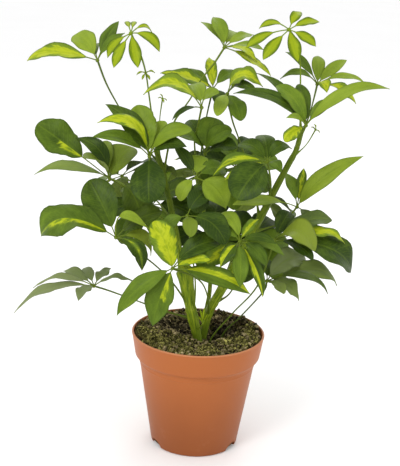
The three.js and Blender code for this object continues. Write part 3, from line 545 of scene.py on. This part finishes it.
def leaf_material(name, greens, roughness, shine):
    g = Graph(name)
    along, across, seed = g.split("place")
    tone, yellow, reach = g.split("look")
    side, youth, olive_and_sheen = g.split("kind")
    out = g.math("ABSOLUTE", across)
    flank = g.math("SIGN", across)
    phase = along * VEINS - out * VEIN_SLANT
    sector = g.join(g.math("FLOOR", phase), flank, seed)
    jag = g.node("TexWhiteNoise", {"Vector": sector})["Value"]
    fine = g.noise(g.join(phase * 1.6, across * 2, seed), 3, 4)
    broad = g.noise(g.spot(), 70, 2)
    cloud = g.noise(g.join(along, across, seed), 2.2, 2)
    drift = g.noise(g.join(phase * 0.4, across * 1.6, seed), 1.6, 4, 0.6)

    # Yellow part: wide along the midrib, with a toothed edge that follows the side veins
    wrong_side = g.math("LESS_THAN", side * flank, -0.5)
    width = yellow * (jag * 0.55 + 0.5) + (fine - 0.5) * 0.35 - wrong_side * 2
    inside = width - out
    within = g.step(inside, -0.07, 0.09) * g.step(drift + (yellow - 0.6) * 0.5, 0.26, 0.4)
    ahead = g.step(reach + jag * 0.12 - along, 0, 0.05) * g.math("GREATER_THAN", yellow, 0.01)
    halo = g.step(inside, -0.3, 0.1) * ahead

    # Green part, from dark to light, then dull olive, then grey as a painted sheen, then paler beside the
    # yellow
    share = tone + (broad - 0.5) * 0.45 + (fine - 0.5) * 0.4 + (cloud - 0.5) * 0.45
    green = g.mix(share * 2, greens["dark"], greens["middle"])
    green = g.mix(share * 2 - 1, green, greens["light"])
    green = g.mix(olive_and_sheen, green, greens["dull"])
    green = g.mix(olive_and_sheen * -1, green, greens["sheen_grey"])
    green = g.mix(halo * 0.6, green, greens["pale"])
    fresh = g.mix(g.step(out + (drift - 0.5) * 0.9, 0.3, 0.85), greens["citron"], greens["lime"])
    green = g.mix(youth, green, fresh)
    gold = g.mix(g.step(drift, 0.38, 0.56), greens["citron"], greens["gold"])
    body = g.mix(within * ahead, green, gold)

    # Veins: a pale midrib and faint side veins, and a dark edge
    line = g.step(g.math("ABSOLUTE", g.math("FRACT", phase) - 0.5), 0.4, 0.5)
    rib = g.step(out, 0.08, 0.02)
    edge = g.step(out, 0.82, 1)
    body = g.mix(line * 0.1, body, greens["pale"])
    body = g.mix(rib * (tone * 0.16 + 0.16), body, greens["pale"])
    body = g.mix(edge * (youth * 0.2 + 0.5), body, greens["dark"])
    g.bump(fine * 0.6 - line * 0.7 - rib, 0.35, 0.0004)
    return g.finish(body, broad * 0.16 + roughness, shine)


def stalk_material():
    g = Graph("stalk_skin")
    tone = g.split("look")[0]
    youth = g.split("kind")[1]
    streak = g.noise(g.spot(), 260)
    body = g.mix(tone + (streak - 0.5) * 0.6, (62, 80, 20), (112, 130, 30))
    body = g.mix(youth, body, (112, 134, 22))
    g.bump(streak, 0.3, 0.0003)
    return g.finish(body, streak * 0.2 + 0.42, 0.15)


def stem_material():
    g = Graph("stem_skin")
    along, turn, _ = g.split("place")
    streak = g.noise(g.join(along * 0.05, turn * 16, 0), 1.5, 4, 0.6)
    mottle = g.noise(g.spot(), 180, 4)
    old = g.mix(streak, (40, 56, 8), (92, 112, 22))
    foot = g.mix(streak, (48, 76, 8), (96, 116, 26))
    body = g.mix(g.step(streak, 0.3, 0.72), (72, 100, 8), (146, 162, 30))
    body = g.mix(g.step(mottle, 0.56, 0.75) * 0.5, body, (166, 174, 66))
    body = g.mix(g.step(along, 110, 190) * 0.75, body, old)
    body = g.mix(g.step(along, 68, 46) * 0.65, body, foot)
    g.bump(streak * 0.8 + mottle * 0.4, 0.6, 0.0006)
    return g.finish(body, mottle * 0.25 + 0.42, 0.15)


def pot_material():
    g = Graph("pot_plastic")
    spot = g.spot()
    height = g.node("SeparateXYZ", {0: spot})["Z"]
    cloud = g.noise(spot, 22)
    grain = g.noise(spot, 1500, 2)
    # Painted shade: the plastic is darker towards the bottom, with random mottle on top
    bottom_shade_and_mottle = g.step(height, 0, 0.1) + (cloud - 0.5) * 0.5
    dust = g.step(g.noise(spot, 60, 5, 0.7), 0.56, 0.75) * g.step(height, 0.045, 0)
    # Painted highlight: a lighter band along the top edge of the rim
    lip_highlight = g.step(height, 0.1046, 0.1056) * 0.4
    body = g.mix(bottom_shade_and_mottle, (141, 78, 39), (168, 95, 48))
    body = g.mix(dust * 0.3, body, (170, 120, 92))
    body = g.mix(lip_highlight, body, (206, 150, 112))
    g.bump(grain * 0.6 + cloud, 0.25, 0.0003)
    return g.finish(body, cloud * 0.16 + 0.36, 0.2)


def soil_material():
    g = Graph("soil_peat")
    shade = g.split("look")[0]
    spot = g.spot()
    grit = g.noise(spot, 900, 4, 0.7)
    patch = g.noise(spot, 90)
    moss = g.mix(grit, (58, 58, 24), (112, 112, 52))
    body = g.mix(g.step(grit, 0.35, 0.7), (34, 26, 16), (92, 74, 48))
    body = g.mix(g.step(patch, 0.45, 0.62) * 0.75, body, moss)
    body = g.mix(g.step(grit, 0.66, 0.74) * 0.5, body, (166, 148, 104))
    # Painted shade: the soil turns near black at the shaded places
    body = g.mix(shade * 1.1, body, (8, 6, 2))
    g.bump(grit, 1, 0.0014)
    return g.finish(body, 0.9, 0.06)


def crumb_material():
    g = Graph("soil_crumbs")
    tone, green, _ = g.split("look")
    grit = g.noise(g.spot(), 1400, 3, 0.7)
    peat = g.mix(tone, (14, 10, 3), (222, 202, 150))
    moss = g.mix(tone, (30, 31, 2), (214, 206, 116))
    body = g.mix(grit * 0.35, g.mix(green, peat, moss), (30, 26, 14))
    g.bump(grit, 0.8, 0.0005)
    return g.finish(body, 0.85, 0.08)


LEAF_SKINS = (
    leaf_material("leaf_top_skin", TOP_GREENS, 0.34, 0.12),
    leaf_material("leaf_under_skin", UNDER_GREENS, 0.55, 0.05),
    stalk_material(),
)
STEM_SKIN = stem_material()
CRUMB_SKIN = crumb_material()

# Leaflet blades: points along and across one, its outlines by how fast they swell and end, its
# thickness at the midrib and the edge, and how much a yellow or grey one curls and frays
BLADE_ROWS = 22
BLADE_COLUMNS = 10
TOP_SLOT = 0
UNDER_SLOT = 1
STALK_SLOT = 2
OUTLINES = {"r": (0.8, 0.62), "p": (0.9, 1.1), "s": (1.05, 1)}
OUTLINE_SPREAD = 0.06
TONE_SPREAD = 0.12
COLUMN_CROWDING = 0.85
BLADE_CENTRE = 0.55
BLADE_EDGE = 0.16
RIB_DROP = 0.25
RIB_SLOPE = 6
WAVES = 1.6
WAVES_SPREAD = 0.7
WAVE_HEIGHT = 0.055
WAVE_SPREAD = 0.025
WAVE_SHIFT = 1.3
CURLED = 2.3
RAGGED = 0.24
SLIVER = 0.55
PETIOLULE_STEPS = 5
PETIOLULE_SIDES = 7


def leaflet_frame(hub, tip, arch, peak, axis):
    chord = tip - hub
    along = unit(chord)
    face = square_to(axis, along)
    side = np.cross(along, face)
    lift = square_to(UP + axis, along)
    return hub + chord * peak + lift * 2 * arch, side


def on_curve(hub, middle, tip, t):
    centre = hub * (1 - t) ** 2 + middle * (2 * t * (1 - t)) + tip * t ** 2
    heading = unit((middle - hub) * (1 - t) + (tip - middle) * t)
    return centre, heading


def fold_shape(size):
    """Rise of a folded blade from its midrib (size 0) to its edge (size 1)"""
    return 1.3 * math.hypot(size, 0.12) - 0.3 * size ** 3 - 0.15


def frayed(s, end, seed, ragged):
    return 1 - ragged * max(0, noise.noise(Vector((s * 7, end * 9, seed))))


def blade_faces(sides, half_ring, end):
    """Faces of a blade's rings and tip, their slots, and the edges that stay sharp"""
    low = end - sides
    faces = strips(BLADE_ROWS, sides) + flipped(fan(end, low, sides)) + [tuple(range(sides))]
    slots = [TOP_SLOT if i % sides < half_ring else UNDER_SLOT for i in range(len(faces) - 1)]
    sharp = [(low, end), (low + half_ring, end)]
    for corner in range(0, low, sides):
        sharp += [(corner, corner + sides), (corner + half_ring, corner + half_ring + sides)]
    return faces, slots + [UNDER_SLOT], sharp


def add_leaflet(piece, hub, tip, width, arch, share, peak, axis, code, form, seed):
    """Thin stalk and a folded, slightly wavy blade with a midrib"""
    middle, side = leaflet_frame(hub, tip, arch, peak, axis)
    tone, yellow, reach, flank, youth, olive_and_sheen = (COLOURING[code] + (0,) * 5)[:6]
    tone = min(1, max(0, tone + TONE_SPREAD * spread(seed, 1)))
    look = (tone, yellow, reach)
    kind = (flank, youth, olive_and_sheen)
    swell, blunt = OUTLINES[form]
    swell += OUTLINE_SPREAD * spread(seed, 2)
    blunt += OUTLINE_SPREAD * spread(seed, 3)
    best = swell / (swell + blunt)
    crest = best ** swell * (1 - best) ** blunt
    waves = WAVES + WAVES_SPREAD * spread(seed, 4)
    phase = TAU * spread(seed, 5)
    withered = yellow or olive_and_sheen < 0
    ripple = (WAVE_HEIGHT + WAVE_SPREAD * spread(seed, 6)) * width * (CURLED if withered else 1)
    ragged = RAGGED if withered else 0
    columns = np.linspace(-1, 1, BLADE_COLUMNS + 1)
    columns = [math.copysign(abs(v) ** COLUMN_CROWDING, v) for v in columns]
    points = []
    place = []
    for row in range(BLADE_ROWS):
        s = 0.5 - 0.5 * math.cos(math.pi * row / BLADE_ROWS)
        centre, heading = on_curve(hub, middle, tip, share + (1 - share) * s)
        across = square_to(side, heading)
        normal = np.cross(across, heading)
        half = width / 2 * s ** swell * (1 - s) ** blunt / crest
        half = max(half, PETIOLULE_RADIUS * (1 - s))
        flanks = [half * frayed(s, end, seed, ragged) for end in (0, 1)]
        fold = BLADE_FOLD * max(half - PETIOLULE_RADIUS, 0)
        upper = []
        lower = []
        for v in columns:
            size = abs(v)
            turn = TAU * waves * s + phase + (v > 0) * WAVE_SHIFT
            rise = fold * fold_shape(size)
            rise += ripple * size ** 2 * math.sin(math.pi * s) * math.sin(turn)
            thick = BLADE_EDGE + (BLADE_CENTRE - BLADE_EDGE) * (1 - size)
            base = centre + across * (flanks[v > 0] * v) + normal * rise
            upper.append(base + normal * thick / 2)
            lower.append(base - normal * (thick / 2 + RIB_DROP * max(0, 1 - size * RIB_SLOPE)))
        left = (upper[0] + lower[0]) / 2
        right = (upper[-1] + lower[-1]) / 2
        points += [left] + upper[1:-1] + [right] + lower[-2:0:-1]
        place += [(s, v, seed) for v in columns + columns[-2:0:-1]]
    faces, slots, sharp = blade_faces(2 * BLADE_COLUMNS, BLADE_COLUMNS, len(points))
    points.append(tip)
    place.append((1, 0, seed))
    piece.add(points, faces, slots, place, look, kind, sharp)

    steps = np.linspace(0, 1, PETIOLULE_STEPS + 1)
    stalk = [on_curve(hub, middle, tip, (share + 0.03) * t)[0] for t in steps]
    radii = PETIOLULE_RADIUS * (1.35 - 0.35 * np.sin(math.pi * (0.15 + 0.7 * steps)))
    tube(piece, stalk, radii, PETIOLULE_SIDES, STALK_SLOT, (max(tone, 0.5), 0, 0), kind)


def slide_in_sight(point, distance):
    ray = point - EYE
    return EYE + ray * ((ray[1] + distance) / ray[1])


def placed_tip(solid, hub, tip):
    """Where the solid has this leaflet's tip, or None where the solid left it out"""
    for shorter in SHORTER:
        for rise in RISES:
            for slide in SLIDES:
                moved = slide_in_sight(tip, slide) + UP * rise
                moved = hub + (moved - hub) * shorter
                if np.abs(solid - moved).max(axis=1).min() < SAME_POINT:
                    return moved
    return None


def shown_tips(hub, tips):
    """Tip, width, arch, share of the petiolule and place of the arch of each listed leaflet"""
    for tip in tips:
        across, down, depth, width, arch = tip[:5]
        share = tip[5] if len(tip) > 5 else PETIOLULE_SHARE
        peak = tip[6] if len(tip) > 6 else ARCH_PLACE
        yield from_sheet((across, down, hub[1] + depth)), width, arch, share, peak


def ring_tips(hub, axis, row, ring):
    """The same for each leaflet of a ring"""
    count, length, width, droop, first = ring
    right = square_to(RIGHT, axis)
    ahead = np.cross(axis, right)
    for item in range(count):
        angle = first + item * TAU / count
        reach = length * (1 + LENGTH_SPREAD * spread(row, item))
        wide = width * (1 + WIDTH_SPREAD * spread(item, row))
        out = right * math.cos(angle) + ahead * math.sin(angle)
        tip = hub + out * reach * math.cos(droop) - axis * reach * math.sin(droop)
        yield tip, wide, ARCH_SHARE * reach, PETIOLULE_SHARE, ARCH_PLACE


def stem_size(name, place):
    radii = STEMS[name][0]
    return np.interp(place, range(len(radii)), radii)


# Stalks and hubs; a stalk widens to a sheath where it leaves a stem
STEM_GUIDES = {name: [from_sheet(p) for p in path] for name, (_, path) in STEMS.items()}
SHEATH_RADIUS = 1.9
SHEATH_LENGTH = 9
STALK_SIDES = 10
STALK_THIN = 0.14
STALK_TONE = 0.35
STALK_TONE_SPREAD = 0.3
YOUNG_STALK = 0.6
HUB_SHARE = 0.72
HUB_TONE = 0.6
SEEDS_PER_LEAF = 16
TUFT_SEED = 10
YOUNG = ("leaf_young_left", "leaf_young_right", "shoot_left", "shoot_low", "shoot_right")


def stalk_guide(root, vias, hub):
    """Points from the root to the hub, and the stem's radius there, or None in the ground"""
    if root[0] == "ground":
        foot = [np.array((root[1], root[2], z)) for z in (STALK_FOOT_Z, SOIL_TOP)]
        stem_radius = None
    else:
        foot = [glide(STEM_GUIDES[root[0]], root[1])]
        stem_radius = stem_size(*root)
    return foot + [from_sheet(via) for via in vias] + [hub], stem_radius


def add_stalk(piece, guide, radius, stem_radius, tone, youth):
    steps = 10 + 5 * len(guide)
    points = [glide(guide, place) for place in np.linspace(0, len(guide) - 1, steps + 1)]
    widening = max(0, SHEATH_RADIUS * radius / STALK_RADIUS - radius)
    gone = 0
    radii = []
    for i, point in enumerate(points):
        if i:
            gone += np.linalg.norm(point - points[i - 1])
        size = radius * (1 - STALK_THIN + STALK_THIN * math.cos(TAU * i / steps))
        if stem_radius is not None:
            beyond = max(0, gone - stem_radius) / (SHEATH_LENGTH / 2)
            size += widening * math.exp(-beyond ** 2)
        radii.append(size)
    tube(piece, points, radii, STALK_SIDES, STALK_SLOT, (tone, 0, 0), (0, youth, 0))


def add_ring(piece, solid, hub, axis, leaflets, codes, forms, seed, slim):
    """A ring of leaflets, each where the solid has it"""
    for item, (tip, width, arch, share, peak) in enumerate(leaflets):
        spot = placed_tip(solid, hub, tip)
        if spot is not None:
            add_leaflet(piece, hub, spot, width * slim, arch, share, peak, axis,
                        codes[item], forms[item], seed + item)


def leaf_piece(row, leaf):
    """One compound leaf"""
    name, hub_reading, root, vias, lean, codes, *rest = leaf
    hub = from_sheet(hub_reading)
    axis = unit(np.array((lean[0], -lean[1], 1.0)))
    solid = np.array([vertex.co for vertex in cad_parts[name].data.vertices]) / MM
    small = name.startswith("shoot")
    youth = int(name in YOUNG)
    stalk_radius = SHOOT_RADIUS if small else STALK_RADIUS
    hub_radius = SHOOT_HUB_RADIUS if small else HUB_RADIUS
    piece = Piece(name + "_foliage")
    guide, stem_radius = stalk_guide(root, vias, hub)
    tone = STALK_TONE + STALK_TONE_SPREAD * spread(row, 40)
    add_stalk(piece, guide, stalk_radius, stem_radius, tone, YOUNG_STALK * youth)
    knob(piece, hub, hub_radius * HUB_SHARE, STALK_SLOT, row, (HUB_TONE, 0, 0), (0, youth, 0))
    seed = row * SEEDS_PER_LEAF
    if len(rest) > 1:
        forms = rest[0]
        leaflets = shown_tips(hub, rest[1])
    else:
        forms = "r" * len(codes)
        leaflets = ring_tips(hub, axis, row, rest[0])
    add_ring(piece, solid, hub, axis, leaflets, codes, forms, seed, SLIVER if small else 1)
    if name == TUFT_LEAF:
        tuft = from_sheet(TUFT_PLACE)
        leaflets = shown_tips(tuft, TUFT)
        add_ring(piece, solid, tuft, axis, leaflets, "nnnn", "ssss", seed + TUFT_SEED, SLIVER)
    return piece


for row, leaf in enumerate(LEAVES + FAR_LEAVES):
    name = leaf[0]
    done = leaf_piece(row, leaf).build(*LEAF_SKINS)
    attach(done, "root")
    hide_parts(name)
    "young_leaf" if name in YOUNG else "leaf"

# Stems, a little thicker where a leaf grows from them
STEM_STEPS = 70
STEM_SIDES = 20
STEM_RIBS = 0.05
KNEE_SIZE = 0.1
KNEE_REACH = 0.06
STEM_THIN = 0.03
STEM_WAVES = 5.1


def stem_piece(name):
    guide = STEM_GUIDES[name]
    knees = [leaf[2][1] for leaf in LEAVES + FAR_LEAVES if leaf[2][0] == name]
    points = [np.array((guide[0][0], guide[0][1], STEM_FOOT_Z))]
    radii = [STEMS[name][0][0]]
    for place in np.linspace(0, len(guide) - 1, STEM_STEPS + 1):
        size = stem_size(name, place)
        for knee in knees:
            size *= 1 + KNEE_SIZE * math.exp(-((place - knee) / KNEE_REACH) ** 2)
        points.append(glide(guide, place))
        radii.append(size * (1 - STEM_THIN + STEM_THIN * math.cos(place * STEM_WAVES)))
    piece = Piece(name + "_skin")
    tube(piece, points, radii, STEM_SIDES, 0, ribs=STEM_RIBS)
    return piece


for name in STEMS:
    done = stem_piece(name).build(STEM_SKIN)
    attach(done, "root")
    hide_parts(name)

# Pot: a turned wall with rounded corners and a raised line, cut by the foot notches
LINE_Z = 77.4
LINE_DEPTH = 0.35
CENTRE_RADIUS = 0.4
CORNER_SIZE = 1
CORNER_STEPS = 3
SHARP_ANGLE = math.radians(32)
WALL_SLOPE = (WALL_TOP_RADIUS - BASE_RADIUS) / (WALL_TOP_Z - BASE_ROUND)


def inside(radius):
    return radius - WALL


def wall_radius(z):
    return BASE_RADIUS + WALL_SLOPE * (z - BASE_ROUND)


def turned(profile, sides):
    return [point for radius, z in profile for point in circle(radius, sides, z)]


def rounded(corners):
    """Profile with its corners cut round"""
    soft = [corners[0]]
    for before, corner, after in zip(corners, corners[1:], corners[2:]):
        corner = np.array(corner)
        back = before - corner
        ahead = after - corner
        reach = min(CORNER_SIZE, np.linalg.norm(back) * 0.4, np.linalg.norm(ahead) * 0.4)
        start = corner + unit(back) * reach
        end = corner + unit(ahead) * reach
        for t in np.linspace(0, 1, CORNER_STEPS + 1):
            soft.append(start * (1 - t) ** 2 + corner * 2 * t * (1 - t) + end * t ** 2)
    soft.append(corners[-1])
    return soft


def cut_notch(pot, angle):
    bpy.ops.mesh.primitive_cylinder_add(vertices=48, radius=1, depth=NOTCH_DEPTH * MM)
    cutter = bpy.context.active_object
    turn = Matrix.Rotation(angle, 4, "Z") @ Matrix.Translation((BASE_RADIUS * MM, 0, 0))
    size = Matrix.Diagonal((1, NOTCH_WIDTH / 2 * MM, NOTCH_HEIGHT * MM, 1))
    cutter.data.transform(turn @ size @ Matrix.Rotation(math.pi / 2, 4, "Y"))
    cut = pot.modifiers.new("notch", "BOOLEAN")
    cut.object = cutter
    cut.solver = "EXACT"
    bpy.context.view_layer.update()
    evaluated = pot.evaluated_get(bpy.context.evaluated_depsgraph_get())
    pot.data = bpy.data.meshes.new_from_object(evaluated)
    pot.modifiers.clear()
    bpy.data.objects.remove(cutter)


outline = [
    (CENTRE_RADIUS, 0), (BASE_RADIUS - BASE_ROUND, 0), (BASE_RADIUS, BASE_ROUND),
    (wall_radius(LINE_Z - 1), LINE_Z - 1), (wall_radius(LINE_Z) + LINE_DEPTH, LINE_Z),
    (wall_radius(LINE_Z + 1), LINE_Z + 1),
    (WALL_TOP_RADIUS, WALL_TOP_Z), (COLLAR_FOOT_RADIUS, COLLAR_FOOT_Z),
    (COLLAR_TOP_RADIUS, POT_HEIGHT - RIM_HEIGHT), (RIM_RADIUS, POT_HEIGHT - RIM_HEIGHT + RIM_ROUND),
    (RIM_RADIUS, POT_HEIGHT - RIM_ROUND), (RIM_RADIUS - RIM_ROUND, POT_HEIGHT),
    (inside(COLLAR_TOP_RADIUS), POT_HEIGHT), (inside(COLLAR_FOOT_RADIUS), COLLAR_FOOT_Z),
    (inside(WALL_TOP_RADIUS), WALL_TOP_Z), (inside(BASE_RADIUS), FLOOR),
    (CENTRE_RADIUS, FLOOR),
]
profile = rounded(outline)
piece = Piece("pot_shell")
piece.add(turned(profile, POT_SIDES), flipped(closed_strips(len(profile), POT_SIDES)), 0)
pot = piece.build(pot_material())
for i in range(NOTCHES):
    cut_notch(pot, NOTCH_FIRST + i * TAU / NOTCHES)
pot.data.set_sharp_from_angle(angle=SHARP_ANGLE)
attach(pot, "root")
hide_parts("pot")

# Soil: the lumpy top of the solid, roughened, heaped at the back edge and sunk at the shaded places, whose
# colour is darkened as painted shade
SOIL_GAP = 0.3
EDGE_SLACK = 0.4
EDGE_Z = SOIL_TOP - SOIL_EDGE_DROP
FLARE = (COLLAR_TOP_RADIUS - COLLAR_FOOT_RADIUS) / (POT_HEIGHT - RIM_HEIGHT - COLLAR_FOOT_Z)
SOIL_EDGE_RADIUS = inside(COLLAR_FOOT_RADIUS) + FLARE * (EDGE_Z - COLLAR_FOOT_Z) - SOIL_GAP - EDGE_SLACK
SOIL_RINGS = 46
SOIL_SIDES = 150
RING_CROWDING = 0.8
SOIL_CENTRE = 0.05
EDGE_START = 0.985
ROUGHNESS = 1.3
ROUGH_SCALE = 0.35
HEAP_START = 0.8
HEAP_FRONT = -20
EDGE_HEAP = 2.4
MOSS_HEAP = 1.8
DARK_DEPTH = 4
# Places as x, y and radius
# Places where painted shade darkens the soil, crumbs and moss
SHADED_PLACES = ((14, 3, 14), (22, 20, 14), (-22, 20, 14), (-14, 10, 9))
MOSS = ((-34, -26, 17), (-14, -38, 14), (8, -44, 12), (34, -18, 15), (-46, -4, 10), (44, 6, 9))
MOSS_SCALE = 0.11
MOSS_PATCHES = 0.35


def soil_height(x, y):
    """Top of the solid"""
    lumps = LUMP_HEIGHT * (math.sin(LUMP_ACROSS * x + LUMP_SHIFTS[0]) * math.cos(LUMP_ALONG * y)
                           + math.sin(LUMP_ALONG * x) * math.sin(LUMP_ACROSS * y + LUMP_SHIFTS[1]))
    away = math.hypot(x - HOLLOW_PLACE[0], y - HOLLOW_PLACE[1]) / HOLLOW_RADIUS
    return SOIL_TOP + lumps - HOLLOW_DEPTH * math.exp(-away * away)


def nearness(x, y, places):
    return max(math.exp(-((x - a) ** 2 + (y - b) ** 2) / radius ** 2) for a, b, radius in places)


def mossy(x, y):
    """Share of moss at a place, up to 1"""
    patches = noise.noise(Vector((x * MOSS_SCALE, y * MOSS_SCALE, 3)))
    return min(1, nearness(x, y, MOSS) + MOSS_PATCHES * patches)


def shadow(x, y):
    """Share of painted shade at a place, where the soil is also sunk, 0 to 1"""
    return nearness(x, y, SHADED_PLACES)


def soil_top(x, y):
    rough = noise.fractal(Vector((x * ROUGH_SCALE, y * ROUGH_SCALE, 7)), 0.9, 2.1, 4)
    out = max(0, math.hypot(x, y) / SOIL_EDGE_RADIUS - HEAP_START) / (1 - HEAP_START)
    heap = MOSS_HEAP * max(0, mossy(x, y)) + EDGE_HEAP * out * (y > HEAP_FRONT)
    return soil_height(x, y) + ROUGHNESS * rough + heap - DARK_DEPTH * shadow(x, y)


points = []
for r in range(SOIL_RINGS + 1):
    radius = SOIL_EDGE_RADIUS * (r / SOIL_RINGS) ** RING_CROWDING if r else SOIL_CENTRE
    edge = max(0, (radius / SOIL_EDGE_RADIUS - EDGE_START) / (1 - EDGE_START))
    for x, y, _ in circle(radius, SOIL_SIDES, 0):
        points.append((x, y, soil_top(x, y) * (1 - edge) + EDGE_Z * edge))
points += turned(((inside(COLLAR_FOOT_RADIUS) - SOIL_GAP, COLLAR_FOOT_Z),
                  (inside(WALL_TOP_RADIUS) - SOIL_GAP, WALL_TOP_Z),
                  (inside(BASE_RADIUS) - SOIL_GAP, FLOOR + SOIL_GAP)), SOIL_SIDES)
piece = Piece("soil_bed")
# Each point's share of painted shade, for the soil's colour
look = [(shadow(x, y), 0, 0) for x, y, _ in points]
piece.add(points, closed_strips(SOIL_RINGS + 4, SOIL_SIDES), 0, look=look)
bed = piece.build(soil_material())
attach(bed, "root")
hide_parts("soil")

# Crumbs, moss strands and roots on the soil
CRUMBS = 4600
STRANDS = 4200
ROOTS = 60
BARE_EDGE = 0.97
STRAND_RADII = (0.3, 0.32, 0.3, 0.25, 0.16)
STRAND_BEND = 1.3
ROOT_RADIUS = 0.22
ROOT_STEPS = 9
ROOT_STEP = 1.5
ROOT_BEND = 0.45
PATCH_SCALE = 0.16
draw = np.random.default_rng(11)


def random_place(share):
    radius = SOIL_EDGE_RADIUS * share * math.sqrt(draw.random())
    angle = TAU * draw.random()
    return radius * math.cos(angle), radius * math.sin(angle)


def patches(x, y, layer):
    return abs(noise.noise(Vector((x * PATCH_SCALE, y * PATCH_SCALE, layer))))


piece = Piece("soil_crumbs")
for i in range(CRUMBS):
    x, y = random_place(BARE_EDGE)
    size = 0.4 + 1.5 * draw.random() ** 3
    green = draw.random() < mossy(x, y)
    # Painted shade: crumbs are darker and less mossy at the shaded places
    shade = shadow(x, y)
    tone = min(1, (0.5 + 1.2 * patches(x, y, 5)) * draw.random() ** 1.7) * (1 - 0.95 * shade)
    centre = np.array((x, y, soil_top(x, y) + size * 0.3))
    look = (tone, green * (1 - shade), 0)
    knob(piece, centre, size, 0, i, look, rings=4, sides=5, rough=0.4)
crumbs = piece.build(CRUMB_SKIN)
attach(crumbs, "root")

piece = Piece("soil_moss")
made = 0
while made < STRANDS:
    x, y = random_place(BARE_EDGE)
    if draw.random() > (0.15 + mossy(x, y)) * (1 - 0.9 * shadow(x, y)):
        continue
    made += 1
    reach = 1.2 + 2.4 * draw.random()
    heading = TAU * draw.random()
    bend = draw.normal(0, STRAND_BEND)
    # Painted shade: strands are darker at the shaded places
    tone = min(1, (0.45 + 1.4 * patches(x, y, 9)) * draw.random() ** 1.6) * (1 - 0.8 * shadow(x, y))
    path = []
    for step in range(len(STRAND_RADII)):
        lift = reach * 0.5 * math.sin(math.pi * (0.1 + 0.22 * step))
        path.append(np.array((x, y, soil_top(x, y) + lift)))
        heading += bend / 4
        x += reach / 4 * math.cos(heading)
        y += reach / 4 * math.sin(heading)
    if math.hypot(x, y) < SOIL_EDGE_RADIUS * EDGE_START:
        tube(piece, path, STRAND_RADII, 3, 0, (tone, 1, 0))
moss = piece.build(CRUMB_SKIN)
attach(moss, "root")

piece = Piece("soil_roots")
for i in range(ROOTS):
    x, y = random_place(0.9)
    heading = TAU * draw.random()
    path = []
    for step in range(ROOT_STEPS):
        if math.hypot(x, y) > SOIL_EDGE_RADIUS * BARE_EDGE:
            break
        path.append(np.array((x, y, soil_top(x, y) + 0.35 + 0.5 * draw.random())))
        heading += draw.normal(0, ROOT_BEND)
        x += ROOT_STEP * math.cos(heading)
        y += ROOT_STEP * math.sin(heading)
    if len(path) > 3:
        tube(piece, path, [ROOT_RADIUS] * len(path), 5, 0, (0.7 + 0.3 * draw.random(), 0, 0))
roots = piece.build(CRUMB_SKIN)
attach(roots, "root")

# Floor, light and camera
WORLD_STRENGTH = 1.07
CLIP_END = 60


def paper_material():
    g = Graph("floor_paper")
    paper = g.noise(g.spot(), 3, 2)
    return g.finish(g.mix(paper, [0.9, 0.9, 0.9, 1], [0.93, 0.93, 0.93, 1]), 0.8, 0.5)


bpy.ops.mesh.primitive_plane_add(size=40, location=(0, 8, 0))
floor = bpy.context.active_object
floor.name = "studio_floor"
floor.data.materials.append(paper_material())

world = bpy.data.worlds.new("studio")
scene.world = world
world.use_nodes = True
background = world.node_tree.nodes["Background"]
background.inputs[0].default_value = (1, 1, 1, 1)
background.inputs[1].default_value = WORLD_STRENGTH
scene.view_settings.view_transform = "Standard"


def area_light(name, place, aim, size, power):
    data = bpy.data.lights.new(name, "AREA")
    data.shape = "DISK"
    data.size = size
    data.energy = power
    lamp = bpy.data.objects.new(name, data)
    lamp.location = place
    lamp.rotation_euler = (Vector(aim) - Vector(place)).to_track_quat("-Z", "Y").to_euler()
    scene.collection.objects.link(lamp)


area_light("key", (-0.7, -1.1, 1.3), (0, 0, 0.2), 0.6, 10)
area_light("fill", (1.2, -0.9, 0.8), (0, 0, 0.2), 0.9, 2)
area_light("back", (0.3, 1.2, 1.4), (0, 0, 0.25), 0.8, 5)

camera_data = bpy.data.cameras.new("camera")
camera_data.sensor_width = SENSOR
camera_data.lens = SENSOR * SHEET_SCALE / SHEET_LONG_SIDE
camera_data.clip_end = CLIP_END
camera = bpy.data.objects.new("camera", camera_data)
right = RIGHT * math.cos(EYE_ROLL) + ABOVE * math.sin(EYE_ROLL)
upward = -RIGHT * math.sin(EYE_ROLL) + ABOVE * math.cos(EYE_ROLL)
columns = (right, upward, -AHEAD, EYE * MM)
camera.matrix_world = Matrix([[float(c[i]) for c in columns] for i in range(3)] + [[0, 0, 0, 1]])
scene.collection.objects.link(camera)
bpy.context.scene.camera = camera
